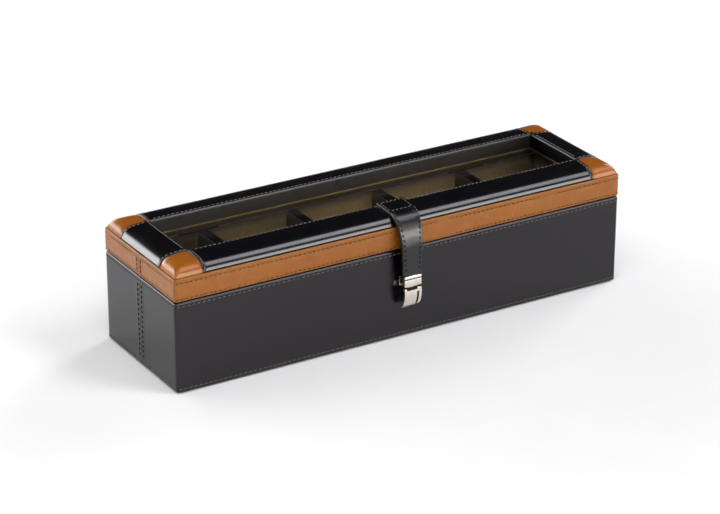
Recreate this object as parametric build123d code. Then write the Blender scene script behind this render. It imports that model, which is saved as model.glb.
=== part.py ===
from build123d import *
import math
import os

os.makedirs("parts", exist_ok=True)

# Watch display box: a long leather-covered box with five compartments, a lid
# with a glazed window, and a strap that holds the lid to a nickel clasp on the
# front. Millimetres. Origin on the floor under the middle of the box, +X along
# the length, the strap side faces -Y, +Z up.

# ---------------------------------------------------------------- dimensions
LENGTH = 340.0            # outside length over the leather
DEPTH = 97.5              # outside depth over the leather, without the strap
HEIGHT = 87.35            # floor to the top of the crowned lid bars
Z_PART = 63.2             # parting plane between the base and the lid
SKIN = 1.0                # leather skin on the boards
EDGE_R = 2.0              # rounding of the upright corners
BOARD = 4.0               # side and floor boards
SUEDE = 0.8               # lining thickness
UNDER = 0.8               # underside cloth
TURN_IN = 10.0            # leather turned in under the floor

N_SLOTS = 5
DIVIDER_T = 8.2           # covered divider
CAP_W = 6.9               # leather strip on a divider
DIVIDER_TOP = 62.2

CUSHION_L = 55.8          # along the length of the box
CUSHION_D = 70.0
CUSHION_H = 41.0
CUSHION_R = 15.0
SOFT_GAP = 0.4

BAND_TOP = 79.3           # top edge of the tan band round the lid
LID_INSET = 1.0           # the band stands this far proud of the lid top
ROUND = 7.5               # rounding of the lid's outer top edge
ROUND_Z = 78.9            # height of that rounding's centre
ROUND_SWEEP = 80.0        # degrees of it, before the gentle crown takes over
CROWN = 70.0              # radius of the crown across a bar
CAP_SKIN = 1.6            # leather bars on the lid top
CORNER_DROP = 0.6         # corners lie this far below the bars
LAP = 3.0                 # bars lap this far over the corners
WIN_X = 148.5             # half length of the window
WIN_Y = 26.5              # half width of the window
LINER = 1.0               # leather on the window's inner wall
CORNER_X = 149.0          # corner pieces start here
CORNER_Y = 27.0
RAIL_WALL = 5.5
GLASS_TOP = 76.8
GLASS_T = 2.0
GLASS_LAP = 5.5
BEAD = 1.0

HINGE_X = 105.0           # two hinges
HINGE_W = 30.0
HINGE_Y = 50.35           # hinge axis, behind the box on the parting plane
BARREL_R = 1.5
PIN_R = 0.75
PIN_CLEAR = 0.05
LEAF_T = 0.8
KNUCKLE = 10.0
KNUCKLE_GAP = 0.2
LID_OPEN = 95.0           # the stop tails meet here

STRAP_W_TOP = 19.0
STRAP_W_END = 14.2
PATCH_W = 20.4
PATCH_BACK = -27.4
STRAP_T = 2.8
FOLD_Y = -43.5            # the strap bends here
STRAP_TOP = 88.2           # top of the leather at the fold
STRAP_OUT = 8.0           # outer face of the hanging strap from the box front

CATCH_Z = 40.0
STUD_R = 1.6
LEVER_AX_S = 7.3          # clasp hinge, measured out from the box front
LEVER_AX_Z = 37.4
CLASP_W = 12.9

HX, HY = LENGTH / 2, DEPTH / 2
FRONT = -HY
CX, CY = HX - SKIN, HY - SKIN                    # outside of the boards
IX, IY = CX - BOARD, CY - BOARD                  # inside of the boards
JX, JY = IX - SUEDE, IY - SUEDE                  # inside of the lining
Z_WRAP = UNDER
Z_BOARD = UNDER + 0.8
Z_FLOOR = Z_BOARD + BOARD
Z_LINED = Z_FLOOR + SUEDE
Z_RIM = Z_PART - SKIN


def save(shape, name):
    export_step(shape, f"parts/{name}.step")


def blk(x0, x1, y0, y1, z0, z1):
    return Pos((x0 + x1) / 2, (y0 + y1) / 2, (z0 + z1) / 2) * Box(abs(x1 - x0), abs(y1 - y0), abs(z1 - z0))


def cyl_x(r, x0, x1, y, z):
    return Pos((x0 + x1) / 2, y, z) * Rot(0, 90, 0) * Cylinder(r, abs(x1 - x0))


def cyl_y(r, y0, y1, x, z):
    return Pos(x, (y0 + y1) / 2, z) * Rot(90, 0, 0) * Cylinder(r, abs(y1 - y0))


def cyl_z(r, z0, z1, x, y):
    return Pos(x, y, (z0 + z1) / 2) * Cylinder(r, abs(z1 - z0))


def upright(x, y, r, z0, z1):
    """Block with rounded upright corners."""
    b = blk(-x, x, -y, y, z0, z1)
    return fillet(b.edges().filter_by(Axis.Z), r)


def prism_x(points, x0, x1):
    """Closed outline of (y, z) points drawn out along X."""
    face = make_face(Plane.YZ * Polyline(*points, close=True))
    return Pos(x0, 0, 0) * extrude(face, x1 - x0, dir=(1, 0, 0))


def solid_of(shape):
    """Largest solid of a boolean result."""
    s = sorted(shape.solids(), key=lambda q: q.volume)
    return s[-1]


# ---------------------------------------------------------------- hinge parts
def hinge_cut(xc, lid):
    """Mortise in the rim for one leaf, with room for the screw shanks."""
    if lid:
        c = blk(xc - HINGE_W / 2, xc + HINGE_W / 2, 43.2, HY + 1, Z_PART, Z_PART + 0.1 + LEAF_T)
        for sx in (-10.5, 10.5):
            c = c + cyl_z(0.8, Z_PART, Z_PART + 9.2, xc + sx, 45.6)
    else:
        c = blk(xc - HINGE_W / 2, xc + HINGE_W / 2, 43.2, HY + 1, Z_PART - 0.1 - LEAF_T, Z_PART)
        for sx in (-10.5, 10.5):
            c = c + cyl_z(0.8, Z_PART - 9.2, Z_PART, xc + sx, 45.6)
    return c


def hinge_screw(xc, sx, lid):
    """Countersunk screw, head level with the leaf."""
    d = 1.0 if lid else -1.0
    z_face = Z_PART + 0.1 * d
    head = Pos(xc + sx, 45.6, z_face + d * LEAF_T / 2) * (Rot(0, 0, 0) if not lid else Rot(180, 0, 0)) * Cone(0.8, 1.5, LEAF_T)
    shank = cyl_z(0.8, z_face + d * LEAF_T * 0.5, z_face + d * 9.0, xc + sx, 45.6)
    slot = blk(xc + sx - 1.6, xc + sx + 1.6, 45.45, 45.75, z_face, z_face + d * 0.3)
    return (head + shank) - slot


def screw_seat(xc, sx, lid):
    d = 1.0 if lid else -1.0
    z_face = Z_PART + 0.1 * d
    head = Pos(xc + sx, 45.6, z_face + d * LEAF_T / 2) * (Rot(0, 0, 0) if not lid else Rot(180, 0, 0)) * Cone(0.8, 1.5, LEAF_T)
    return head + cyl_z(0.8, z_face, z_face + d * LEAF_T, xc + sx, 45.6)


def base_leaf(xc):
    """Leaf on the base rim, with a flange down the back that the stop meets."""
    z0, z1 = Z_PART - 0.1 - LEAF_T, Z_PART - 0.1
    a, b = xc - HINGE_W / 2, xc + HINGE_W / 2
    leaf = blk(a, b, 43.2, HY, z0, z1)
    k = KNUCKLE / 2 + KNUCKLE_GAP
    for u, v in ((a, xc - k), (xc + k, b)):
        leaf = leaf + blk(u, v, HY, HINGE_Y, z0, z1) + cyl_x(BARREL_R, u, v, HINGE_Y, Z_PART)
    leaf = leaf + blk(a, b, HY, HY + 0.6, Z_PART - 6.0, z1 - 0.2)
    leaf = leaf - cyl_x(BARREL_R + 0.12, xc - k, xc + k, HINGE_Y, Z_PART)
    leaf = leaf - cyl_x(PIN_R, a - 1, b + 1, HINGE_Y, Z_PART)
    for sx in (-10.5, 10.5):
        leaf = leaf - screw_seat(xc, sx, False)
    return solid_of(leaf)


def lid_leaf(xc):
    """Leaf on the lid rim, with the stop tail behind the middle knuckle."""
    z0, z1 = Z_PART + 0.1, Z_PART + 0.1 + LEAF_T
    a, b = xc - HINGE_W / 2, xc + HINGE_W / 2
    k = KNUCKLE / 2
    leaf = blk(a, b, 43.2, HY - 0.1, z0, z1)
    leaf = leaf + blk(xc - k, xc + k, HY - 0.2, HINGE_Y, z0, z1) + cyl_x(BARREL_R, xc - k, xc + k, HINGE_Y, Z_PART)
    half = HINGE_Y - HY - 0.6 - 0.03
    tail = Pos(xc, HINGE_Y, Z_PART) * Rot(LID_OPEN - 90.0, 0, 0) * blk(-k, k, 0.9, 3.0, -half, half)
    leaf = leaf + tail
    leaf = leaf - cyl_x(PIN_R + PIN_CLEAR, a - 1, b + 1, HINGE_Y, Z_PART)
    for sx in (-10.5, 10.5):
        leaf = leaf - screw_seat(xc, sx, True)
    return solid_of(leaf)


# ---------------------------------------------------------------- base
def front_nail_cut():
    c = None
    for x in (-8.5, 8.5):
        n = cyl_y(0.5, FRONT - 1.2, FRONT + 4.2, x, CATCH_Z)
        c = n if c is None else c + n
    c = c + cyl_y(1.0, FRONT - 1.2, FRONT + 3.2, 0, CATCH_Z)
    return c


hinge_base_cuts = hinge_cut(-HINGE_X, False) + hinge_cut(HINGE_X, False)
hinge_lid_cuts = hinge_cut(-HINGE_X, True) + hinge_cut(HINGE_X, True)

save(solid_of(blk(-CX, CX, -CY, -IY, Z_BOARD, Z_RIM) - front_nail_cut()), "base_board_front")
save(solid_of(blk(-CX, CX, IY, CY, Z_BOARD, Z_RIM) - hinge_base_cuts), "base_board_back")
save(blk(-CX, -IX, -IY, IY, Z_BOARD, Z_RIM), "base_board_left")
save(blk(IX, CX, -IY, IY, Z_BOARD, Z_RIM), "base_board_right")
save(blk(-IX, IX, -IY, IY, Z_BOARD, Z_FLOOR), "base_board_floor")

# leather wrap: two halves meeting in a stitched seam in the middle of each end
shell = upright(HX, HY, EDGE_R, Z_WRAP, Z_PART)
shell = fillet(shell.edges().group_by(Axis.Z)[-1], 0.9)
shell = fillet(shell.edges().group_by(Axis.Z)[0], 0.6)
shell = shell - blk(-CX, CX, -CY, CY, Z_BOARD, Z_RIM)
shell = shell - blk(-JX, JX, -JY, JY, Z_RIM - 1, Z_PART + 1)
shell = shell - blk(-HX + TURN_IN + 5, HX - TURN_IN - 5, -HY + TURN_IN + 5, HY - TURN_IN - 5, 0, Z_BOARD + 0.5)
shell = shell - hinge_base_cuts
save(solid_of((shell & blk(-HX - 1, HX + 1, FRONT - 1, 0, 0, 70)) - front_nail_cut()), "base_wrap_front")
save(solid_of(shell & blk(-HX - 1, HX + 1, 0, HY + 1, 0, 70)), "base_wrap_back")

under = upright(HX - 1.5, HY - 1.5, 1.5, 0, UNDER)
under = under + blk(-HX + TURN_IN + 5, HX - TURN_IN - 5, -HY + TURN_IN + 5, HY - TURN_IN - 5, UNDER - 0.1, Z_BOARD)
save(solid_of(under), "base_underside")

save(blk(-IX, IX, -IY, IY, Z_FLOOR, Z_LINED), "lining_floor")
walls = blk(-IX, IX, -IY, IY, Z_LINED, Z_RIM) - blk(-JX, JX, -JY, JY, 0, 70)
walls = walls - hinge_base_cuts
save(solid_of(walls), "lining_walls")

# dividers: suede-covered boards, each with a leather strip let into its top
clear_x = (2 * JX - (N_SLOTS - 1) * DIVIDER_T) / N_SLOTS
pitch = clear_x + DIVIDER_T
centres = [(i - (N_SLOTS - 1) / 2) * pitch for i in range(N_SLOTS)]
for i in range(N_SLOTS - 1):
    xc = (centres[i] + centres[i + 1]) / 2
    board = blk(xc - DIVIDER_T / 2, xc + DIVIDER_T / 2, -JY, JY, Z_LINED, DIVIDER_TOP)
    tops = board.edges().filter_by(Axis.Y).group_by(Axis.Z)[-1]
    board = fillet(tops, 0.35)
    rebate = blk(xc - CAP_W / 2, xc + CAP_W / 2, -JY - 1, JY + 1, DIVIDER_TOP - 0.7, DIVIDER_TOP + 1)
    save(solid_of(board - rebate), f"divider_{i + 1}")
    cap = blk(xc - CAP_W / 2, xc + CAP_W / 2, -JY, JY, DIVIDER_TOP - 0.7, DIVIDER_TOP + 0.4)
    cap = fillet(cap.edges().filter_by(Axis.Y).group_by(Axis.Z)[-1], 0.35)
    save(cap, f"divider_cap_{i + 1}")

# cushions: loose suede pillows a watch is buckled round
for i, xc in enumerate(centres):
    z0 = Z_LINED + SOFT_GAP
    c = blk(-CUSHION_L / 2, CUSHION_L / 2, -CUSHION_D / 2, CUSHION_D / 2, z0, z0 + CUSHION_H)
    c = fillet(c.edges().filter_by(Axis.X), CUSHION_R)
    c = fillet(c.edges().group_by(Axis.X)[0] + c.edges().group_by(Axis.X)[-1], 2.5)
    save(Pos(xc, 0, 0) * c, f"cushion_{i + 1}")

# catch: plate with two ears pinned to the front, and the stud the clasp drops over
ear = 1.7
plate = blk(-10.2 + ear, 10.2 - ear, FRONT - 0.9, FRONT, CATCH_Z - ear, CATCH_Z + ear)
plate = plate + cyl_y(ear, FRONT - 0.9, FRONT, -10.2 + ear, CATCH_Z) + cyl_y(ear, FRONT - 0.9, FRONT, 10.2 - ear, CATCH_Z)
plate = plate + cyl_y(2.6, FRONT - 0.9, FRONT, 0, CATCH_Z)
plate = chamfer(plate.edges().group_by(Axis.Y)[0], 0.25)
plate = plate - front_nail_cut()
save(solid_of(plate), "catch_plate")
stud = cyl_y(STUD_R, FRONT - 4.2, FRONT - 0.9, 0, CATCH_Z)
stud = fillet(stud.edges().group_by(Axis.Y)[0], 0.6)
stud = stud + cyl_y(1.0, FRONT - 1.0, FRONT + 3.0, 0, CATCH_Z)
save(solid_of(stud), "catch_stud")
nails = []
for x in (-8.5, 8.5):
    n = cyl_y(0.5, FRONT - 0.95, FRONT + 4.0, x, CATCH_Z)
    h = cyl_y(0.9, FRONT - 1.3, FRONT - 0.9, x, CATCH_Z)
    h = fillet(h.edges().group_by(Axis.Y)[0], 0.25)
    nails.append(solid_of(n + h))
save(Compound(nails), "catch_pins")

# hinges
for side, xc in (("left", -HINGE_X), ("right", HINGE_X)):
    save(base_leaf(xc), f"hinge_base_{side}")
    pin = cyl_x(PIN_R, xc - HINGE_W / 2 - 0.4, xc + HINGE_W / 2 + 0.4, HINGE_Y, Z_PART)
    pin = chamfer(pin.edges(), 0.2)
    save(pin, f"hinge_pin_{side}")
    save(lid_leaf(xc), f"hinge_lid_{side}")
save(Compound([solid_of(hinge_screw(xc, sx, False)) for xc in (-HINGE_X, HINGE_X) for sx in (-10.5, 10.5)]), "hinge_screws_base")
save(Compound([solid_of(hinge_screw(xc, sx, True)) for xc in (-HINGE_X, HINGE_X) for sx in (-10.5, 10.5)]), "hinge_screws_lid")

# ---------------------------------------------------------------- lid
LX, LY = HX - LID_INSET, HY - LID_INSET          # outside of the lid's rounded top
Z_TUCK = BAND_TOP - 1.0                          # the skins tuck behind the band


def dome_outline(half, off, z0):
    """Outline across the lid: upright, tight rounding, gentle crown, level middle."""
    r1, r2 = ROUND - off, CROWN - off
    top = 180.0 - ROUND_SWEEP
    c1 = (-half + ROUND, ROUND_Z)
    c2 = (c1[0] + (ROUND - CROWN) * math.cos(math.radians(top)), c1[1] + (ROUND - CROWN) * math.sin(math.radians(top)))

    def at(c, r, deg):
        return Vector(0, c[0] + r * math.cos(math.radians(deg)), c[1] + r * math.sin(math.radians(deg)))

    p0, p1, p2 = Vector(0, -half + off, z0), at(c1, r1, 180), at(c1, r1, top)
    p3 = at(c2, r2, 90)
    m1, m2 = at(c1, r1, (180 + top) / 2), at(c2, r2, (top + 90) / 2)

    def other(v):
        return Vector(0, -v.Y, v.Z)

    edges = [Edge.make_line(p0, p1), Edge.make_three_point_arc(p1, m1, p2), Edge.make_three_point_arc(p2, m2, p3),
             Edge.make_line(p3, other(p3)), Edge.make_three_point_arc(other(p3), other(m2), other(p2)),
             Edge.make_three_point_arc(other(p2), other(m1), other(p1)), Edge.make_line(other(p1), other(p0)),
             Edge.make_line(other(p0), p0)]
    return Face(Wire(edges))


def dome(off, z0):
    """Lid top moved inward by off: rounded and crowned on all sides, mitred corners."""
    a = Pos(-200, 0, 0) * extrude(dome_outline(LY, off, z0), 400, dir=(1, 0, 0))
    b = Rot(0, 0, 90) * (Pos(-200, 0, 0) * extrude(dome_outline(LX, off, z0), 400, dir=(1, 0, 0)))
    return a & b


outer = dome(0.0, Z_TUCK)
low = dome(CORNER_DROP, Z_TUCK)
wood = dome(CAP_SKIN, Z_TUCK)
void = blk(-WIN_X - LINER, WIN_X + LINER, -WIN_Y - LINER, WIN_Y + LINER, 60, 90)

corner_zone = None
for sx in (-1, 1):
    for sy in (-1, 1):
        z = blk(sx * (CORNER_X - LAP), sx * 180, sy * (CORNER_Y - LAP), sy * 60, 70, 90)
        z = z & low
        z = z - wood - void
        nm = ("back" if sy > 0 else "front") + "_" + ("right" if sx > 0 else "left")
        piece = solid_of(z)
        save(piece, f"lid_corner_{nm}")
        corner_zone = piece if corner_zone is None else corner_zone + piece

skin = outer - wood - void - corner_zone
G = CORNER_X                                     # bar ends
H = CORNER_Y
bar_front = skin & blk(-G, G, -60, -WIN_Y, 70, 90)
bar_back = skin & blk(-G, G, WIN_Y, 60, 70, 90)
bar_left = skin & blk(-180, -WIN_X, -H, H, 70, 90)
bar_right = skin & blk(WIN_X, 180, -H, H, 70, 90)
bar_left = bar_left - blk(-G, 0, -60, 60, 70, 90)
bar_right = bar_right - blk(0, G, -60, 60, 70, 90)
save(solid_of(bar_front), "lid_bar_front")
save(solid_of(bar_back), "lid_bar_back")
save(solid_of(bar_left), "lid_bar_left")
save(solid_of(bar_right), "lid_bar_right")

# tan band round the lid, two halves, turned in under the rim
band = upright(HX, HY, EDGE_R, Z_PART, BAND_TOP)
band = fillet(band.edges().group_by(Axis.Z)[-1], 0.45)
band = fillet(band.edges().group_by(Axis.Z)[0], 0.8)
band = band - blk(-CX, CX, -CY, CY, Z_PART + SKIN, 90)
WX, WY = CX - RAIL_WALL, CY - RAIL_WALL          # inside of the rail walls
band = band - blk(-WX + SUEDE, WX - SUEDE, -WY + SUEDE, WY - SUEDE, Z_PART - 1, 70)
band = band - hinge_lid_cuts
save(solid_of(band & blk(-HX - 1, HX + 1, -60, 0, 60, 90)), "lid_band_front")
save(solid_of(band & blk(-HX - 1, HX + 1, 0, 60, 60, 90)), "lid_band_back")

# rails: four mitred L-shaped wooden rails, rebated below for the glass
frame = blk(-CX, CX, -CY, CY, Z_PART + SKIN, Z_TUCK) + wood
frame = frame - void
frame = frame - blk(-WX, WX, -WY, WY, 60, GLASS_TOP - GLASS_T)
GX, GY = WIN_X + LINER + GLASS_LAP, WIN_Y + LINER + GLASS_LAP
frame = frame - blk(-GX, GX, -GY, GY, 60, GLASS_TOP)
frame = frame - hinge_lid_cuts
m = CX - CY                                      # mitre lines run at 45 degrees


def wedge(points):
    face = make_face(Polyline(*points, close=True))
    return Pos(0, 0, 60) * extrude(face, 40, dir=(0, 0, 1))


BIG = 60.0
rail_front = frame & wedge([(-m, 0), (m, 0), (m + BIG, -BIG), (-m - BIG, -BIG)])
rail_back = frame & wedge([(-m, 0), (m, 0), (m + BIG, BIG), (-m - BIG, BIG)])
rail_left = frame & wedge([(-m, 0), (-m - BIG, -BIG), (-m - BIG, BIG)])
rail_right = frame & wedge([(m, 0), (m + BIG, -BIG), (m + BIG, BIG)])
save(solid_of(rail_front), "lid_rail_front")
save(solid_of(rail_back), "lid_rail_back")
save(solid_of(rail_left), "lid_rail_left")
save(solid_of(rail_right), "lid_rail_right")

# window: leather liner on the inner wall, glass from below, gilt bead on the glass
liner = blk(-WIN_X - LINER, WIN_X + LINER, -WIN_Y - LINER, WIN_Y + LINER, GLASS_TOP, HEIGHT)
liner = liner - blk(-WIN_X, WIN_X, -WIN_Y, WIN_Y, 60, 90)
liner = fillet(liner.edges().filter_by(Axis.Z, reverse=True).group_by(Axis.Z)[-1].sort_by(lambda e: abs(e.center().X) / WIN_X + abs(e.center().Y) / WIN_Y)[0:4], 0.5)
save(solid_of(liner), "window_liner")
glass = blk(-GX, GX, -GY, GY, GLASS_TOP - GLASS_T, GLASS_TOP)
save(glass, "glass_pane")
bead = blk(-WIN_X, WIN_X, -WIN_Y, WIN_Y, GLASS_TOP, GLASS_TOP + 0.8)
bead = bead - blk(-WIN_X + BEAD, WIN_X - BEAD, -WIN_Y + BEAD, WIN_Y - BEAD, 60, 90)
save(solid_of(bead), "glass_bead")
inside = blk(-WX, WX, -WY, WY, Z_PART + SKIN, GLASS_TOP - GLASS_T)
inside = inside - blk(-WX + SUEDE, WX - SUEDE, -WY + SUEDE, WY - SUEDE, 60, GLASS_TOP - GLASS_T - SUEDE)
inside = inside - blk(-WIN_X - LINER, WIN_X + LINER, -WIN_Y - LINER, WIN_Y + LINER, 60, 90)
inside = inside - hinge_lid_cuts
save(solid_of(inside), "lid_lining")

# ---------------------------------------------------------------- strap
# fixed patch stitched to the front bar, following its crown
def bar_top(y):
    """Height of the front bar's leather at y."""
    d = y + LY
    c1z, top = ROUND_Z, math.radians(180.0 - ROUND_SWEEP)
    c2d = ROUND + (ROUND - CROWN) * math.cos(top)
    c2z = c1z + (ROUND - CROWN) * math.sin(top)
    if d >= c2d:
        return HEIGHT
    if d >= ROUND + ROUND * math.cos(top):
        return c2z + math.sqrt(CROWN ** 2 - (d - c2d) ** 2)
    return c1z + math.sqrt(ROUND ** 2 - (d - ROUND) ** 2)


ys = [PATCH_BACK, -31.0, -35.0, -39.0, -41.5, FOLD_Y]
up = [1.9, 2.0, 2.0, 2.05, 2.2, STRAP_TOP - bar_top(FOLD_Y)]
low_pts = [Vector(0, y, bar_top(y) + 0.02) for y in ys]
top_pts = [Vector(0, y, bar_top(y) + u) for y, u in zip(ys, up)]
patch = Face(Wire([Edge.make_spline(top_pts), Edge.make_line(top_pts[-1], low_pts[-1]),
                   Edge.make_spline(low_pts[::-1]), Edge.make_line(low_pts[0], top_pts[0])]))
patch = Pos(-PATCH_W / 2, 0, 0) * extrude(patch, PATCH_W, dir=(1, 0, 0))
patch = patch - solid_of(bar_front)
save(solid_of(patch), "strap_patch")

# free strap: bends over the rounded edge, stands off the band, hangs straight
top_side = [(FOLD_Y, STRAP_TOP), (-46.6, 87.2), (-49.7, 84.4), (-52.4, 80.6), (-54.5, 76.2), (-55.9, 71.2),
            (FRONT - STRAP_OUT, 64.5)]
t0, t1 = (-1.0, -0.18), (0.0, -1.0)


def offset_line(pts, d, start, end):
    out = []
    n = len(pts)
    for i, (y, z) in enumerate(pts):
        if i == 0:
            t = start
        elif i == n - 1:
            t = end
        else:
            t = (pts[i + 1][0] - pts[i - 1][0], pts[i + 1][1] - pts[i - 1][1])
        l = math.hypot(*t)
        out.append((y + d * t[1] / l, z - d * t[0] / l))
    return out


low_side = offset_line(top_side, -STRAP_T, t0, t1)
low_side[0] = (FOLD_Y, bar_top(FOLD_Y) + 0.12)
Z_END = 40.2
e_out = Edge.make_spline([Vector(0, y, z) for y, z in top_side], tangents=[Vector(0, *t0), Vector(0, *t1)])
e_in = Edge.make_spline([Vector(0, y, z) for y, z in low_side], tangents=[Vector(0, *t0), Vector(0, *t1)])
yo, yi = top_side[-1][0], low_side[-1][0]
zo = top_side[-1][1]
l_out = Edge.make_line((0, yo, zo), (0, yo, Z_END))
l_end = Edge.make_line((0, yo, Z_END), (0, yi, Z_END))
l_in = Edge.make_line((0, yi, Z_END), (0, yi, zo))
l_top = Edge.make_line((0, *low_side[0]), (0, *top_side[0]))
face = Face(Wire([e_out, l_out, l_end, l_in, e_in, l_top]))
strap = Pos(-STRAP_W_TOP / 2 - 1, 0, 0) * extrude(face, STRAP_W_TOP + 2, dir=(1, 0, 0))
w0, w1 = STRAP_W_TOP / 2, STRAP_W_END / 2
plan = make_face(Plane.XZ * Polyline((-w0, 95), (w0, 95), (w0, 86), (w1, 46.5), (w1, 46.0), (CLASP_W / 2 - 0.3, 45.9),
                                     (CLASP_W / 2 - 0.3, 38), (-CLASP_W / 2 + 0.3, 38), (-CLASP_W / 2 + 0.3, 45.9),
                                     (-w1, 46.0), (-w1, 46.5), (-w0, 86), close=True))
plan = Pos(0, -100, 0) * extrude(plan, 200, dir=(0, 1, 0))
strap = strap & plan
save(solid_of(strap), "strap")

# clasp sleeve: folded nickel plate closed over the end of the strap
def s(v):
    return FRONT - v


HW = CLASP_W / 2
F0, F1 = STRAP_OUT, STRAP_OUT + 0.9
sleeve = blk(-HW, HW, s(F1), s(F0), 39.4, 46.3)
sleeve = chamfer(sleeve.edges().filter_by(Axis.X).group_by(Axis.Y)[0].sort_by(Axis.Z)[-1:], 0.5)
sleeve = fillet(sleeve.edges().filter_by(Axis.Z).group_by(Axis.Y)[0], 0.4)
sleeve = sleeve + blk(-HW, HW, s(F0 + 0.2), s(2.5), 39.4, 40.2)
sleeve = sleeve + blk(-HW - 0.7, HW + 0.7, s(3.3), s(2.5), 38.4, 45.4)
TONGUE0, TONGUE1 = -4.6, 3.2
sleeve = sleeve + blk(TONGUE0, TONGUE1, s(LEVER_AX_S + 1.15), s(LEVER_AX_S - 0.4), LEVER_AX_Z, 39.6)
sleeve = sleeve + cyl_x(1.15, TONGUE0, TONGUE1, s(LEVER_AX_S), LEVER_AX_Z)
sleeve = sleeve - cyl_x(0.5, -10, 10, s(LEVER_AX_S), LEVER_AX_Z)
sleeve = sleeve - blk(-HW - 1, HW + 1, s(F1 + 0.1), s(F1 - 0.22), 44.2, 44.55)
sleeve = sleeve - blk(-2.1, 2.1, s(4.6), s(2.3), 30, CATCH_Z)
sleeve = sleeve - cyl_y(2.1, s(4.6), s(2.3), 0, CATCH_Z + 0.2)
sleeve = sleeve - blk(-2.1, 2.1, s(4.6), s(2.3), CATCH_Z - 1, CATCH_Z + 0.2)
save(solid_of(sleeve), "clasp_sleeve")

# spring leaf inside the sleeve that grips the stud
spring = blk(-3.8, 3.8, s(3.75), s(3.3), 40.2, 45.2)
spring = spring - blk(-STUD_R - 0.06, STUD_R + 0.06, s(4), s(3), 38, CATCH_Z)
spring = spring - cyl_y(STUD_R + 0.06, s(4), s(3), 0, CATCH_Z)
spring = spring - blk(-STUD_R - 0.06, STUD_R + 0.06, s(4), s(3), 39, CATCH_Z)
spring = spring - cyl_y(1.7, s(4), s(3), 0, CATCH_Z + 0.15)
save(solid_of(spring), "clasp_spring")

# lever: curved nickel plate hinged under the sleeve
lev_out = [(9.1, 36.9), (9.15, 34.0), (8.9, 31.0), (8.05, 28.0), (6.5, 25.2), (4.5, 23.0)]
lev_out = [(s(a), z) for a, z in lev_out]


def back(pts, d):
    out = []
    n = len(pts)
    for i, (y, z) in enumerate(pts):
        p, q = pts[max(0, i - 1)], pts[min(n - 1, i + 1)]
        t = (q[0] - p[0], q[1] - p[1])
        l = math.hypot(*t)
        out.append((y - d * t[1] / l, z + d * t[0] / l))
    return out


lev_in = back(lev_out, 0.9)
ve = (lev_out[-1][0] - lev_out[-2][0], lev_out[-1][1] - lev_out[-2][1])
tb = [Vector(0, 0.0, -1.0), Vector(0, ve[0], ve[1]).normalized()]
eo = Edge.make_spline([Vector(0, y, z) for y, z in lev_out], tangents=tb)
ei = Edge.make_spline([Vector(0, y, z) for y, z in lev_in], tangents=tb)
c1 = Edge.make_line((0, *lev_out[-1]), (0, *lev_in[-1]))
c2 = Edge.make_line((0, *lev_in[0]), (0, *lev_out[0]))
lever = Pos(-HW, 0, 0) * extrude(Face(Wire([eo, c1, ei, c2])), CLASP_W, dir=(1, 0, 0))
lever = lever + blk(-HW, HW, s(9.1), s(LEVER_AX_S), LEVER_AX_Z - 1.15, LEVER_AX_Z - 0.4)
for u, v in ((-HW, TONGUE0 - 0.12), (TONGUE1 + 0.12, HW)):
    lever = lever + cyl_x(1.15, u, v, s(LEVER_AX_S), LEVER_AX_Z)
    lever = lever + blk(u, v, s(9.1), s(LEVER_AX_S), LEVER_AX_Z - 0.9, LEVER_AX_Z)
lever = lever - cyl_x(1.3, TONGUE0 - 0.12, TONGUE1 + 0.12, s(LEVER_AX_S), LEVER_AX_Z)
lever = lever - blk(TONGUE0 - 0.12, TONGUE1 + 0.12, s(9.4), s(LEVER_AX_S - 1.4), LEVER_AX_Z - 1.0, LEVER_AX_Z + 1.5)
lever = lever - cyl_x(0.5 + 0.04, -10, 10, s(LEVER_AX_S), LEVER_AX_Z)
# long slit near one edge of the lever
lever = lever - blk(3.2, 4.0, s(10), s(5.0), 25.4, 34.7)
lever = solid_of(lever)
tail_edges = [e for e in lever.edges() if e.center().Z < 24.0 and abs(abs(e.center().X) - HW) < 0.01 and abs(e.bounding_box().size.Z) < 1.2]
if tail_edges:
    lever = fillet(tail_edges, 1.2)
save(solid_of(lever), "clasp_lever")
pin = cyl_x(0.5, -HW + 0.1, HW - 0.1, s(LEVER_AX_S), LEVER_AX_Z)
save(pin, "clasp_pin")

print("slot width", round(clear_x, 2), "pitch", round(pitch, 2))
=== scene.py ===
import math

import bmesh
import bpy
import numpy as np
from mathutils import Matrix, Vector, noise
from mathutils.bvhtree import BVHTree


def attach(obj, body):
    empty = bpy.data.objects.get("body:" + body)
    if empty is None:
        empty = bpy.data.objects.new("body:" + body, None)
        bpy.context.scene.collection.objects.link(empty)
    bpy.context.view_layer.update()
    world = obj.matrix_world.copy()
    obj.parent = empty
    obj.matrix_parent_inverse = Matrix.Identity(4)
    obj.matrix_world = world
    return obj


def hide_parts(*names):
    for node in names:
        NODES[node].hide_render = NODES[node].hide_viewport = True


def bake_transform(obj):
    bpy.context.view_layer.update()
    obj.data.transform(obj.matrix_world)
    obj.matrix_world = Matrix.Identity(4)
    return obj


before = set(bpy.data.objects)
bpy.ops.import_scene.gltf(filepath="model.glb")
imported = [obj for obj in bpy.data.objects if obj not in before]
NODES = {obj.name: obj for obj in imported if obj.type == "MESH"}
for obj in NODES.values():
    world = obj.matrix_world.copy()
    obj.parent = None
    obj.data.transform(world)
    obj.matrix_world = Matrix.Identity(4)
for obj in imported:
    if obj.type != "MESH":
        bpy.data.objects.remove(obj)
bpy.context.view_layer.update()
MM = 0.001
scene = bpy.context.scene

# Lengths below are millimetres in the row frame unless a name says otherwise.
HX, HY = 170.0, 48.75          # outside of the leather
Z_PART = 63.2                  # parting plane
LX, LY = 169.0, 47.75          # outside of the lid's rounded top
WIN_X, WIN_Y = 148.5, 26.5     # window opening
TOP = 87.35
FRONT = -HY


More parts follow.
